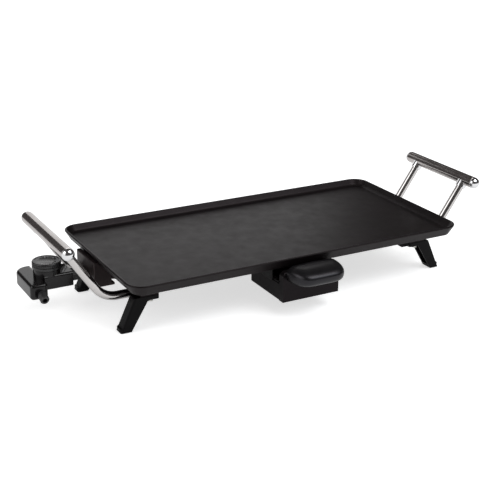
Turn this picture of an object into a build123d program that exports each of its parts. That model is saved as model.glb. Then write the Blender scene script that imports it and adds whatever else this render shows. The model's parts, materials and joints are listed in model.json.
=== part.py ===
from build123d import *
import math
import os

# Electric griddle: a cast plate on four legs, with two tube handles, a drip tray that slides out at
# the front and a thermostat that plugs in at the left end.
# Millimetres. +X runs along the long side, +Y to the back and +Z up. Sizes are laid out from the
# middle of the plate at table height. Every node is then moved by the same amount, so that the
# origin lies on the table under the middle of the whole footprint.

# Clearances
SEAT = 0.05  # radial room of a pressed or soldered round piece
RUN = 0.3  # radial room of a round piece that slides or turns
FLAT_RUN = 0.1  # room under a flat face that slides

# Griddle plate
PLATE_LENGTH = 481.8  # between the sharp outer edges of the rim, before it is rounded
PLATE_WIDTH = 244.8
RIM_HEIGHT = 75.2
WALL_HEIGHT = 14.5
WALL_LEAN = 8.6
RIM_THICKNESS = 3.5
RIM_ROUND = 1.3
CORNER_RADIUS = 22.0
PAN_DEPTH = 8.5
COVE_RADIUS = 6.0
BASE_ROUND = 2.5
DRAIN_DIAMETER = 9.0
DRAIN_INSET = 16.5  # from the outside of the rim to the middle of the drain
DRAIN_BEVEL = 1.0
SPOUT_DIAMETER = 15.0
SPOUT_DROP = 6.0
END_X = PLATE_LENGTH / 2
WALL_SLOPE = math.degrees(math.atan2(WALL_LEAN, WALL_HEIGHT))
UNDERSIDE = RIM_HEIGHT - WALL_HEIGHT
FLOOR_LEVEL = RIM_HEIGHT - PAN_DEPTH
DRAIN_Y = -(PLATE_WIDTH / 2 - DRAIN_INSET)

# Everything at the ends of the plate is placed from END_X: an inset runs in from the end of the
# plate towards the middle, and an outset runs out from it.

# Legs, given for the back right corner and mirrored to the others
LEG_WIDTH = 17.0
LEG_OUTER_Y = 80.8
LEG_OUTER_TOP_INSET = 20.9
LEG_OUTER_FOOT_INSET = 1.4
LEG_INNER_TOP_INSET = 38.1
LEG_INNER_FOOT_INSET = 15.4
LEG_WALL = 3.0
LEG_EDGE_ROUND = 2.6
FLANGE_INNER_INSET = 53.4
FLANGE_INNER_Y = 61.5
FLANGE_THICKNESS = 5.0
FLANGE_DROP = 17.5  # from the underside of the plate to the top of the flange
SOLE_THICKNESS = 5.4
SOLE_LIP = 0.4
SOLE_CORNER = 6.0
SOLE_ROUND = 1.6
PAD_DIAMETER = 10.0
PAD_THICKNESS = 2.3
PAD_STAND = 0.8
BOSS_MARGIN = 0.8
BOSS_OUTER_INSET = 28.9
LEG_SCREW_INSET = 42.3
LEG_SCREW_SPREAD = 9.4
LEG_SCREW_DIAMETER = 4.0
LEG_SCREW_GRIP = 9.0  # thread above the flange
LEG_OUTER_TOP_X = END_X - LEG_OUTER_TOP_INSET
LEG_OUTER_FOOT_X = END_X - LEG_OUTER_FOOT_INSET
LEG_INNER_TOP_X = END_X - LEG_INNER_TOP_INSET
LEG_INNER_FOOT_X = END_X - LEG_INNER_FOOT_INSET
FLANGE_INNER_X = END_X - FLANGE_INNER_INSET
FLANGE_TOP = UNDERSIDE - FLANGE_DROP
FLANGE_BOTTOM = FLANGE_TOP - FLANGE_THICKNESS
LEG_INNER_Y = LEG_OUTER_Y - LEG_WIDTH
LEG_MIDDLE_Y = LEG_OUTER_Y - LEG_WIDTH / 2
FLANGE_MIDDLE_Y = (FLANGE_INNER_Y + LEG_OUTER_Y) / 2
BOSS_OUTER_X = END_X - BOSS_OUTER_INSET
LEG_SCREW_X = END_X - LEG_SCREW_INSET

# Handles: a grip tube along Y at each end, carried by two bent rods
GRIP_OUTSET = 57.7
GRIP_HEIGHT = 112.1
GRIP_DIAMETER = 16.0
GRIP_LENGTH = 159.6
GRIP_WALL = 1.5
CAP_LENGTH = 4.0
CAP_ROUND = 3.4
CAP_SPIGOT = 9.0
ROD_DIAMETER = 11.0
ROD_Y = 51.5
ROD_HEIGHT = 39.6
ROD_BEND_OUTSET = 7.7
ROD_BEND_RADIUS = 33.0
ROD_END_INSET = 44.9
ROD_OVERRUN = 2.4  # past the middle of the grip tube
COLLAR_DIAMETER = 15.0
COLLAR_LENGTH = 4.5
LUG_INNER_INSET = 50.9
LUG_OUTER_INSET = 26.9
LUG_WIDTH = 17.0
LUG_WALL = 3.2  # under the rod
LUG_SCREW_DIAMETER = 5.0
GRIP_X = END_X + GRIP_OUTSET
ROD_BEND_X = END_X + ROD_BEND_OUTSET
ROD_END_X = END_X - ROD_END_INSET
LUG_INNER_X = END_X - LUG_INNER_INSET
LUG_OUTER_X = END_X - LUG_OUTER_INSET
LUG_BOTTOM = ROD_HEIGHT - ROD_DIAMETER / 2 - LUG_WALL
LUG_SCREW_X = (ROD_END_X + LUG_OUTER_X) / 2

# Heating element, bent from one sheathed tube and set into a rib under the plate
PLUG_Y = 28.5
ELEMENT_DIAMETER = 7.0
ELEMENT_BEND = 11.0
RIB_WIDTH = 14.0
RIB_DROP = 5.0
PIN_SPREAD = 14.8
PIN_HEIGHT = 43.4
PIN_DIAMETER = 3.6
PIN_REACH = 22.0  # out of the terminal block
RISE_START_INSET = 64.9
RISE_END_INSET = 82.9
LOOP_TURN_INSET = 110.9
LOOP_END_INSET = 60.9
LOOP_SIDE_Y = 88.0
LOOP_FRONT_JOG_Y = -30.0
LOOP_BACK_JOG_Y = 61.0
TRAY_JOG_X = 64.0
TRAY_JOG_ROOM = 17.4  # behind the tray
RISE_START_X = RISE_START_INSET - END_X
RISE_END_X = RISE_END_INSET - END_X
LOOP_TURN_X = LOOP_TURN_INSET - END_X
LOOP_END_X = END_X - LOOP_END_INSET
ELEMENT_HEIGHT = UNDERSIDE - ELEMENT_DIAMETER / 2

# Terminal block, cast with the plate, and the socket shroud screwed under it
BLOCK_FRONT_Y = 16.0
BLOCK_BOTTOM = 35.2
BUSHING_LENGTH = 10.0
SHROUD_LEFT_OUTSET = 0.4  # beyond the sharp edge of the rim
SHROUD_RIGHT_INSET = 22.3
SHROUD_FRONT_Y = -2.0
SHROUD_BACK_Y = 58.0
SHROUD_WALL = 3.0
SHROUD_LIP_RISE = 4.0
SHROUD_LIP_ROOM = 0.8
SHROUD_ROUND = 1.5
ROD_ROOM = 2.0  # between the shroud and the back rod
TONGUE_LENGTH = 18.0
SHROUD_SCREW_DIAMETER = 3.0
SHROUD_SCREW_LENGTH = 7.0
SHROUD_SCREW_INSET = 5.0
SHROUD_LEFT_X = -END_X - SHROUD_LEFT_OUTSET
SHROUD_RIGHT_X = -END_X + SHROUD_RIGHT_INSET
SHROUD_BOTTOM = BLOCK_BOTTOM - SHROUD_WALL
BLOCK_BACK_Y = ROD_Y - LUG_WIDTH / 2

# Drip tray and its rails
TRAY_HALF_WIDTH = 41.0
TRAY_WAIST_HALF_WIDTH = 38.5  # between the grooves that the rails run in
TRAY_FRONT_OUTSET = 5.6  # in front of the rim
TRAY_LENGTH = 81.6
TRAY_BOTTOM = 20.2
TRAY_WALL = 2.0
TRAY_FLANGE = 3.6
TRAY_FLANGE_THICKNESS = 1.5
TRAY_GROOVE_ROOM = 0.8
TRAY_SIDE_ROUND = 1.2
TRAY_INSIDE_ROUND = 3.0
FRONT_THICKNESS = 4.0
SHOULDER_DEPTH = 10.0
SHOULDER_TOP = 59.6
SHOULDER_ROUND = 7.0
SHOULDER_POCKET_BOTTOM = 47.6
SHOULDER_POCKET_TOP = 57.2
RAIL_FRONT_INSET = 17.4
RAIL_STOP_THICKNESS = 1.5
RAIL_THICKNESS = 1.5
RAIL_DROP = 18.0
RAIL_TOP_WIDTH = 14.0
RAIL_LIP_ROOM = 0.7
RAIL_SCREW_DIAMETER = 3.0
RAIL_SCREW_GRIP = 4.2
RAIL_SCREW_INSET = 10.0
PULL_WIDTH = 70.0
PULL_REACH = 35.0
PULL_BOTTOM = 49.4
PULL_TOP = 68.4
PULL_CORNER = 18.0
PULL_ROUND = 8.5
PULL_SCREW_X = 20.0
PULL_SCREW_HEIGHT = 53.0
PULL_SCREW_DIAMETER = 3.0
PULL_SCREW_GRIP = 9.0
TRAY_FRONT_Y = -(PLATE_WIDTH / 2 + TRAY_FRONT_OUTSET)
TRAY_REAR_Y = TRAY_FRONT_Y + TRAY_LENGTH
TRAY_JOG_Y = TRAY_REAR_Y + TRAY_JOG_ROOM
RAIL_FRONT_Y = -(PLATE_WIDTH / 2 - RAIL_FRONT_INSET)
RAIL_OUTER_X = TRAY_WAIST_HALF_WIDTH + TRAY_FLANGE + RUN + RAIL_THICKNESS
RAIL_REAR_Y = TRAY_REAR_Y + FLAT_RUN + RAIL_STOP_THICKNESS
RAIL_BOTTOM = UNDERSIDE - RAIL_DROP
TRAY_FLANGE_BOTTOM = RAIL_BOTTOM + RAIL_THICKNESS + FLAT_RUN
TRAY_TOP = TRAY_FLANGE_BOTTOM + TRAY_FLANGE_THICKNESS
TRAY_GROOVE_BOTTOM = RAIL_BOTTOM - TRAY_GROOVE_ROOM

# Thermostat: a wide part across the plug's line, and a raised neck along it at PLUG_Y
CASE_LEFT_OUTSET = 81.6
CASE_LENGTH = 22.4
CASE_FRONT_Y = 0.6
CASE_BACK_Y = 71.0
CASE_BOTTOM = 29.2
CASE_SEAM = 42.6
CASE_TOP = 49.0
CASE_FRONT_CORNER = 5.0
CASE_BACK_CORNER = 16.0
CASE_TOP_ROUND = 4.0
CASE_BOTTOM_ROUND = 3.6
CASE_WALL = 2.0
NECK_WIDTH = 34.8
NECK_STEP_OUTSET = 60.0
NECK_END_OUTSET = 23.1
NECK_BOTTOM = 34.8
NECK_TOP = 54.1
NECK_ROUND = 3.5
NOSE_WIDTH = 22.0
NOSE_BOTTOM = 38.8
NOSE_TOP = 48.0
NOSE_END_INSET = 22.9
NOSE_CORNER = 1.5
NOSE_FLANGE_LENGTH = 2.5
NOSE_FLANGE_WIDTH = 24.4
DIAL_OUTSET = 51.1
DIAL_DIAMETER = 36.6
DIAL_BOTTOM = 59.5
DIAL_TOP = 68.8
DIAL_ROUND = 1.6
DIAL_GROOVE_HEIGHT = 3.6  # above the bottom of the dial
DIAL_GROOVE_WIDTH = 0.8
DIAL_GROOVE_DEPTH = 0.6
DIAL_SOCKET_DEPTH = 6.0
PEDESTAL_DIAMETER = 34.4
PEDESTAL_ROOM = 0.5
SPINDLE_DIAMETER = 6.0
SPINDLE_FLANGE_DIAMETER = 10.0
SPINDLE_FLANGE_THICKNESS = 1.0
SWITCH_LEFT_OUTSET = 62.1
SWITCH_RIGHT_OUTSET = 35.1
SWITCH_WIDTH = 22.0
SWITCH_TOP = 44.8
BLADE_STAND = 2.4
BLADE_THICKNESS = 0.8
BLADE_WIDTH = 9.0
BLADE_FOOT = 5.0
SOCKET_DIAMETER = 5.2
SOCKET_LENGTH = 24.0
SOCKET_RECESS = 1.0
STEM_DIAMETER = 3.0
PROBE_DIAMETER = 5.0
PROBE_INSERT = 21.0  # depth in the terminal block
PROBE_END_ROOM = 1.5
CASE_SCREW_INSET = 9.0
CASE_SCREW_SPREAD = 40.0
CASE_SCREW_DIAMETER = 2.6
CASE_POST_DIAMETER = 7.0
GLAND_OUTSET = 67.6
GLAND_LEAN = -1.0  # sideways over the length of the gland
GLAND_START_Y = 10.0
GLAND_START_HEIGHT = 37.8
GLAND_END_Y = -12.0
GLAND_END_HEIGHT = 32.6
GLAND_DIAMETER = 10.8
GLAND_BORE = 6.4
GLAND_ROUND = 1.2
CASE_LEFT_X = -END_X - CASE_LEFT_OUTSET
CASE_RIGHT_X = CASE_LEFT_X + CASE_LENGTH
CASE_MIDDLE_Y = (CASE_FRONT_Y + CASE_BACK_Y) / 2
NECK_STEP_X = -END_X - NECK_STEP_OUTSET
NECK_END_X = -END_X - NECK_END_OUTSET
NOSE_END_X = -END_X + NOSE_END_INSET
DIAL_X = -END_X - DIAL_OUTSET
SWITCH_LEFT_X = -END_X - SWITCH_LEFT_OUTSET
SWITCH_RIGHT_X = -END_X - SWITCH_RIGHT_OUTSET
CASE_SCREW_X = CASE_LEFT_X + CASE_SCREW_INSET
GLAND_START = (-END_X - GLAND_OUTSET, GLAND_START_Y, GLAND_START_HEIGHT)
GLAND_END = (-END_X - GLAND_OUTSET + GLAND_LEAN, GLAND_END_Y, GLAND_END_HEIGHT)
PEDESTAL_TOP = DIAL_BOTTOM - PEDESTAL_ROOM
BLADE_BOTTOM = SWITCH_TOP + BLADE_STAND
SPINDLE_BOTTOM = BLADE_BOTTOM + BLADE_THICKNESS + FLAT_RUN

# Screw heads
HEAD_RATIO = 1.9
HEAD_HEIGHT_RATIO = 0.6
HEX_RATIO = 0.9
HEX_DEPTH_RATIO = 0.35

def block(x_limits, y_limits, z_limits):
    """A box between its limits."""
    size = [abs(b - a) for a, b in (x_limits, y_limits, z_limits)]
    middle = [(a + b) / 2 for a, b in (x_limits, y_limits, z_limits)]
    return Pos(*middle) * Box(*size)


def bar(start, end, radius):
    """A round bar between two points."""
    run = Vector(end) - Vector(start)
    return extrude(Plane(origin=start, z_dir=run) * Circle(radius), run.length)


def bent_path(corners, bend_radius):
    """A wire through the corners, with every inner corner rounded to the bend radius."""
    points = [Vector(corner) for corner in corners]
    edges = []
    start = points[0]
    for before, corner, after in zip(points, points[1:], points[2:]):
        back = (before - corner).normalized()
        ahead = (after - corner).normalized()
        half_angle = math.radians(back.get_angle(ahead)) / 2
        first = corner + back * (bend_radius / math.tan(half_angle))
        last = corner + ahead * (bend_radius / math.tan(half_angle))
        inward = (back + ahead).normalized()
        middle = corner + inward * (bend_radius / math.sin(half_angle) - bend_radius)
        edges += [Line(start, first), ThreePointArc(first, middle, last)]
        start = last
    edges.append(Line(start, points[-1]))
    return Wire(edges)


def bent_bar(path, radius):
    """A round bar along a path."""
    return sweep(Plane(origin=path @ 0, z_dir=path % 0) * Circle(radius), path=path)


def screw(foot, direction, diameter, length):
    """A pan head screw whose head seats at its foot point, with the thread running on from there."""
    axis = Vector(direction).normalized()
    seat = Vector(foot)
    head_height = diameter * HEAD_HEIGHT_RATIO
    crown = seat - axis * head_height
    shank = bar(seat, (seat + axis * length), diameter / 2)
    head = bar(crown, seat, diameter * HEAD_RATIO / 2)
    key = Plane(origin=crown, z_dir=axis) * RegularPolygon(diameter * HEX_RATIO / 2, 6)
    return shank + head - extrude(key, diameter * HEX_DEPTH_RATIO)


def both_sides(shape):
    """A shape and its mirror image in the plane between front and back."""
    return [shape, shape.mirror(Plane.XZ)]


def four_corners(shape):
    """A shape at the back right corner, mirrored to all four."""
    return both_sides(shape) + both_sides(shape.mirror(Plane.YZ))


# ---------------------------------------------------------------- plate and element


def loop_points():
    """The corners of the heating loop under the plate, between its two risers."""
    z = ELEMENT_HEIGHT
    front = PLUG_Y - PIN_SPREAD / 2
    back = PLUG_Y + PIN_SPREAD / 2
    return [
        (RISE_END_X, front, z),
        (LOOP_TURN_X, front, z),
        (LOOP_TURN_X, LOOP_FRONT_JOG_Y, z),
        (-LOOP_END_X, LOOP_FRONT_JOG_Y, z),
        (-LOOP_END_X, -LOOP_SIDE_Y, z),
        (-TRAY_JOG_X, -LOOP_SIDE_Y, z),
        (-TRAY_JOG_X, TRAY_JOG_Y, z),
        (TRAY_JOG_X, TRAY_JOG_Y, z),
        (TRAY_JOG_X, -LOOP_SIDE_Y, z),
        (LOOP_END_X, -LOOP_SIDE_Y, z),
        (LOOP_END_X, LOOP_SIDE_Y, z),
        (-LOOP_END_X, LOOP_SIDE_Y, z),
        (-LOOP_END_X, LOOP_BACK_JOG_Y, z),
        (LOOP_TURN_X, LOOP_BACK_JOG_Y, z),
        (LOOP_TURN_X, back, z),
        (RISE_END_X, back, z),
    ]


def element_path():
    """The whole element, from one end in the terminal block round to the other."""
    loop = loop_points()
    start_x = -LUG_OUTER_X + BUSHING_LENGTH

    def riser(y):
        return [(start_x, y, PIN_HEIGHT), (RISE_START_X, y, PIN_HEIGHT)]

    return bent_path(riser(loop[0][1]) + loop + riser(loop[-1][1])[::-1], ELEMENT_BEND)


def heating_element():
    """The sheathed tube of the element."""
    return bent_bar(element_path(), ELEMENT_DIAMETER / 2)


def pin_lines():
    """The Y of each of the two terminal pins."""
    return [PLUG_Y - PIN_SPREAD / 2, PLUG_Y + PIN_SPREAD / 2]


def terminal_pins():
    """The two pins that the thermostat plugs onto, each ending on the element's core."""
    inner = -LUG_OUTER_X + BUSHING_LENGTH
    outer = -LUG_OUTER_X - PIN_REACH
    tip = PIN_DIAMETER / 4
    pins = []
    for y in pin_lines():
        pin = bar((inner, y, PIN_HEIGHT), (outer, y, PIN_HEIGHT), PIN_DIAMETER / 2)
        pins.append(chamfer(pin.edges().group_by(Axis.X)[0], tip))
    return pins


def terminal_bushings():
    """The two ceramic sleeves that hold the pins in the terminal block."""
    inner = -LUG_OUTER_X + BUSHING_LENGTH
    outer = -LUG_OUTER_X - SHROUD_WALL
    sleeves = []
    for y in pin_lines():
        sleeve = bar((inner, y, PIN_HEIGHT), (outer, y, PIN_HEIGHT), ELEMENT_DIAMETER / 2)
        bore = bar((inner, y, PIN_HEIGHT), (outer, y, PIN_HEIGHT), PIN_DIAMETER / 2 + SEAT)
        sleeves.append(sleeve - bore)
    return sleeves


def plate_shell():
    """The dished plate: a leaning wall round a flat cooking floor, with a rolled rim."""
    top = Pos(0, 0, RIM_HEIGHT)
    outline = RectangleRounded(PLATE_LENGTH, PLATE_WIDTH, CORNER_RADIUS)
    inner_length = PLATE_LENGTH - 2 * RIM_THICKNESS
    inner_width = PLATE_WIDTH - 2 * RIM_THICKNESS
    inner = RectangleRounded(inner_length, inner_width, CORNER_RADIUS - RIM_THICKNESS)
    body = extrude(top * outline, -WALL_HEIGHT, taper=WALL_SLOPE)
    body = fillet(body.edges().group_by(Axis.Z)[0], BASE_ROUND)
    pan = extrude(top * inner, -PAN_DEPTH, taper=WALL_SLOPE)
    pan = fillet(pan.edges().group_by(Axis.Z)[0], COVE_RADIUS)
    body = body - pan
    return fillet(body.edges().group_by(Axis.Z)[-1], RIM_ROUND)


def leg_boss():
    """The cast boss that a leg's flange is screwed to."""
    return block(
        (FLANGE_INNER_X + BOSS_MARGIN, BOSS_OUTER_X),
        (FLANGE_INNER_Y + BOSS_MARGIN, LEG_OUTER_Y - BOSS_MARGIN),
        (FLANGE_TOP, UNDERSIDE + BASE_ROUND),
    )


def rod_lug():
    """The cast lug that holds the end of a handle rod."""
    half = LUG_WIDTH / 2
    return block(
        (LUG_INNER_X, LUG_OUTER_X),
        (ROD_Y - half, ROD_Y + half),
        (LUG_BOTTOM, UNDERSIDE + BASE_ROUND),
    )


def leg_screw_places():
    """X and Y of the two screws of the back right leg."""
    return [(LEG_SCREW_X, FLANGE_MIDDLE_Y + side * LEG_SCREW_SPREAD / 2) for side in (-1, 1)]


def rail_screw_places():
    """X and Y of the four screws of the tray rails."""
    x = RAIL_OUTER_X - RAIL_TOP_WIDTH / 2
    rows = (RAIL_FRONT_Y + RAIL_SCREW_INSET, RAIL_REAR_Y - RAIL_SCREW_INSET)
    return [(side * x, y) for side in (-1, 1) for y in rows]


def shroud_screw_places():
    """X and Y of the two screws that hold the shroud's tongue under the terminal block."""
    x = -LUG_OUTER_X + TONGUE_LENGTH / 2
    return [(x, BLOCK_FRONT_Y + SHROUD_SCREW_INSET), (x, BLOCK_BACK_Y - SHROUD_SCREW_INSET)]


def griddle_plate():
    """The casting: plate, rib over the element, leg bosses, rod lugs, terminal block and spout."""
    body = plate_shell()
    loop = bent_path(loop_points(), ELEMENT_BEND)
    across = Plane(origin=loop @ 0, x_dir=(0, 1, 0), z_dir=loop % 0)
    rib_height = RIB_DROP + COVE_RADIUS / 2
    rib_middle = (UNDERSIDE - RIB_DROP + rib_height / 2) - ELEMENT_HEIGHT
    if across.y_dir.Z < 0:
        rib_middle = -rib_middle
    rib = sweep(across * Pos(0, rib_middle) * Rectangle(RIB_WIDTH, rib_height), path=loop)
    terminal_block = block(
        (-LUG_OUTER_X, -LUG_INNER_X),
        (BLOCK_FRONT_Y, BLOCK_BACK_Y),
        (BLOCK_BOTTOM, UNDERSIDE + BASE_ROUND),
    )
    spout_bottom = UNDERSIDE - SPOUT_DROP
    spout = bar((0, DRAIN_Y, spout_bottom), (0, DRAIN_Y, FLOOR_LEVEL - RIM_ROUND), SPOUT_DIAMETER / 2)
    body = body + rib + terminal_block + spout
    for boss in four_corners(leg_boss()):
        body = body + boss
    for lug in four_corners(rod_lug()):
        body = body + lug

    body = body - bent_bar(element_path(), ELEMENT_DIAMETER / 2 + SEAT)
    for y in pin_lines():
        inner = -LUG_OUTER_X + BUSHING_LENGTH
        body = body - bar(
            (inner + ELEMENT_DIAMETER, y, PIN_HEIGHT),
            (-LUG_OUTER_X - 1, y, PIN_HEIGHT),
            ELEMENT_DIAMETER / 2 + SEAT,
        )
    probe_end = -LUG_OUTER_X + PROBE_INSERT + PROBE_END_ROOM
    body = body - bar(
        (-LUG_OUTER_X, PLUG_Y, PIN_HEIGHT), (probe_end, PLUG_Y, PIN_HEIGHT), PROBE_DIAMETER / 2 + RUN
    )
    rod_bore = bar(
        (ROD_END_X, ROD_Y, ROD_HEIGHT), (LUG_OUTER_X, ROD_Y, ROD_HEIGHT), ROD_DIAMETER / 2 + SEAT
    )
    lug_bore = bar(
        (LUG_SCREW_X, ROD_Y, LUG_BOTTOM), (LUG_SCREW_X, ROD_Y, ROD_HEIGHT), LUG_SCREW_DIAMETER / 2 + SEAT
    )
    for bore in four_corners(rod_bore) + four_corners(lug_bore):
        body = body - bore
    for x, y in leg_screw_places():
        top = FLANGE_TOP + LEG_SCREW_GRIP + FLAT_RUN
        hole = bar((x, y, FLANGE_TOP), (x, y, top), LEG_SCREW_DIAMETER / 2 + SEAT)
        for place in four_corners(hole):
            body = body - place
    for x, y in rail_screw_places():
        top = UNDERSIDE + RAIL_SCREW_GRIP + FLAT_RUN
        body = body - bar((x, y, UNDERSIDE), (x, y, top), RAIL_SCREW_DIAMETER / 2 + SEAT)
    for x, y in shroud_screw_places():
        top = SHROUD_BOTTOM + SHROUD_SCREW_LENGTH + FLAT_RUN
        body = body - bar((x, y, BLOCK_BOTTOM), (x, y, top), SHROUD_SCREW_DIAMETER / 2 + SEAT)
    drain = bar((0, DRAIN_Y, spout_bottom), (0, DRAIN_Y, FLOOR_LEVEL), DRAIN_DIAMETER / 2)
    mouth = Pos(0, DRAIN_Y, FLOOR_LEVEL - DRAIN_BEVEL / 2) * Cone(
        DRAIN_DIAMETER / 2, DRAIN_DIAMETER / 2 + DRAIN_BEVEL, DRAIN_BEVEL
    )
    return body - drain - mouth


# ---------------------------------------------------------------- legs


def leg():
    """The back right leg: a splayed channel open to the middle, under a flat flange."""
    outer_slope = (LEG_OUTER_FOOT_X - LEG_OUTER_TOP_X) / (FLANGE_TOP - PAD_STAND)
    inner_slope = (LEG_INNER_FOOT_X - LEG_INNER_TOP_X) / (FLANGE_BOTTOM - PAD_STAND)
    profile = Polyline(
        (LEG_INNER_TOP_X, 0, FLANGE_BOTTOM),
        (LEG_INNER_TOP_X, 0, FLANGE_TOP),
        (LEG_OUTER_TOP_X, 0, FLANGE_TOP),
        (LEG_OUTER_FOOT_X, 0, PAD_STAND),
        (LEG_INNER_FOOT_X, 0, PAD_STAND),
        close=True,
    )
    face = make_face(profile)
    post = Pos(0, LEG_MIDDLE_Y, 0) * extrude(face, LEG_WIDTH / 2, both=True)
    slope = Vector(outer_slope, 0, -1).normalized()
    outer_edges = [
        edge
        for edge in post.edges()
        if edge.center().X > LEG_OUTER_TOP_X and abs(abs((edge % 0).dot(slope)) - 1) < 1e-6
    ]
    top_edge = [
        edge
        for edge in post.edges()
        if edge.center().X == LEG_OUTER_TOP_X and abs(edge.center().Z - FLANGE_TOP) < 1e-6
    ]
    post = fillet(outer_edges + top_edge, LEG_EDGE_ROUND)

    def outer_x(z):
        return LEG_OUTER_TOP_X + (FLANGE_TOP - z) * outer_slope

    def inner_x(z):
        return LEG_INNER_TOP_X + (FLANGE_BOTTOM - z) * inner_slope

    ceiling = FLANGE_BOTTOM
    floor = PAD_STAND + SOLE_THICKNESS
    hollow = Polyline(
        (inner_x(ceiling) - LEG_WALL, 0, ceiling),
        (outer_x(ceiling) - LEG_WALL, 0, ceiling),
        (outer_x(floor) - LEG_WALL, 0, floor),
        (inner_x(floor) - LEG_WALL, 0, floor),
        close=True,
    )
    half_hollow = LEG_WIDTH / 2 - LEG_WALL
    post = post - Pos(0, LEG_MIDDLE_Y, 0) * extrude(make_face(hollow), half_hollow, both=True)
    flange = block(
        (FLANGE_INNER_X, LEG_INNER_TOP_X + LEG_WALL),
        (FLANGE_INNER_Y, LEG_OUTER_Y),
        (FLANGE_BOTTOM, FLANGE_TOP),
    )
    flange = fillet(flange.edges().filter_by(Axis.Z).group_by(Axis.X)[0], LEG_WALL)
    sole = block(
        (LEG_INNER_FOOT_X - SOLE_LIP, LEG_OUTER_FOOT_X + SOLE_LIP),
        (LEG_INNER_Y, LEG_OUTER_Y),
        (PAD_STAND, PAD_STAND + SOLE_THICKNESS),
    )
    corners = sole.edges().filter_by(Axis.Z).group_by(Axis.X)
    sole = fillet(corners[-1], SOLE_CORNER)
    sole = fillet(sole.edges().group_by(Axis.Z)[0], SOLE_ROUND)
    body = post + flange + sole
    for x, y in leg_screw_places():
        hole = bar((x, y, FLANGE_BOTTOM), (x, y, FLANGE_TOP), LEG_SCREW_DIAMETER / 2 + SEAT)
        body = body - hole
    pad_x = (LEG_INNER_FOOT_X + LEG_OUTER_FOOT_X) / 2
    recess = bar(
        (pad_x, LEG_MIDDLE_Y, PAD_STAND), (pad_x, LEG_MIDDLE_Y, PAD_THICKNESS), PAD_DIAMETER / 2 + SEAT
    )
    return body - recess


def foot_pad():
    """The rubber pad let into the sole of the back right leg."""
    x = (LEG_INNER_FOOT_X + LEG_OUTER_FOOT_X) / 2
    return bar((x, LEG_MIDDLE_Y, 0), (x, LEG_MIDDLE_Y, PAD_THICKNESS), PAD_DIAMETER / 2)


def leg_screws():
    """The eight screws that hold the legs, two to each, driven up from below."""
    length = FLANGE_THICKNESS + LEG_SCREW_GRIP
    solids = []
    for x, y in leg_screw_places():
        solids += four_corners(screw((x, y, FLANGE_BOTTOM), (0, 0, 1), LEG_SCREW_DIAMETER, length))
    return solids


# ---------------------------------------------------------------- handles, right end


def rod_top_direction():
    """The unit vector up the straight top run of a handle rod."""
    return Vector(GRIP_X - ROD_BEND_X, 0, GRIP_HEIGHT - ROD_HEIGHT).normalized()


def handle_rod():
    """The back rod of the right handle, from its lug out, round the bend and up into the grip."""
    middle = Vector(GRIP_X, ROD_Y, GRIP_HEIGHT)
    end = middle + rod_top_direction() * ROD_OVERRUN
    corners = [(ROD_END_X, ROD_Y, ROD_HEIGHT), (ROD_BEND_X, ROD_Y, ROD_HEIGHT), end]
    return bent_bar(bent_path(corners, ROD_BEND_RADIUS), ROD_DIAMETER / 2)


def grip_tube():
    """The right grip, a tube with a hole in its lower wall for each rod."""
    half = GRIP_LENGTH / 2 - CAP_LENGTH
    ends = [(GRIP_X, -half, GRIP_HEIGHT), (GRIP_X, half, GRIP_HEIGHT)]
    tube = bar(*ends, GRIP_DIAMETER / 2) - bar(*ends, GRIP_DIAMETER / 2 - GRIP_WALL)
    middle = Vector(GRIP_X, ROD_Y, GRIP_HEIGHT)
    below = middle - rod_top_direction() * GRIP_DIAMETER
    for hole in both_sides(bar(below, middle, ROD_DIAMETER / 2 + SEAT)):
        tube = tube - hole
    return tube


def grip_cap():
    """The domed cap at the back of the right grip, with the spigot that plugs it into the tube."""
    shoulder = GRIP_LENGTH / 2 - CAP_LENGTH
    dome = bar(
        (GRIP_X, shoulder, GRIP_HEIGHT), (GRIP_X, GRIP_LENGTH / 2, GRIP_HEIGHT), GRIP_DIAMETER / 2
    )
    dome = fillet(dome.edges().group_by(Axis.Y)[-1], CAP_ROUND)
    spigot = bar(
        (GRIP_X, shoulder - CAP_SPIGOT, GRIP_HEIGHT),
        (GRIP_X, shoulder, GRIP_HEIGHT),
        GRIP_DIAMETER / 2 - GRIP_WALL - SEAT,
    )
    return dome + spigot


def rod_collar():
    """The ring round the back rod of the right handle, saddled to the underside of the grip."""
    middle = Vector(GRIP_X, ROD_Y, GRIP_HEIGHT)
    far = middle - rod_top_direction() * (GRIP_DIAMETER / 2 + COLLAR_LENGTH)
    ring = bar(far, middle, COLLAR_DIAMETER / 2)
    rod = bar((far - rod_top_direction()), middle, ROD_DIAMETER / 2 + SEAT)
    half = GRIP_LENGTH / 2
    tube = bar(
        (GRIP_X, -half, GRIP_HEIGHT), (GRIP_X, half, GRIP_HEIGHT), GRIP_DIAMETER / 2 + SEAT
    )
    ring = ring - rod - tube
    return ring.solids().sort_by(Axis.Z)[0]


def lug_screw():
    """The grub screw that clamps the back rod of the right handle in its lug."""
    top = ROD_HEIGHT - ROD_DIAMETER / 2 - FLAT_RUN
    grub = bar((LUG_SCREW_X, ROD_Y, LUG_BOTTOM), (LUG_SCREW_X, ROD_Y, top), LUG_SCREW_DIAMETER / 2)
    key = Pos(LUG_SCREW_X, ROD_Y, LUG_BOTTOM) * RegularPolygon(LUG_SCREW_DIAMETER / 4, 6)
    return grub - extrude(key, LUG_SCREW_DIAMETER * HEX_DEPTH_RATIO)


# ---------------------------------------------------------------- drip tray and rails


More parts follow.
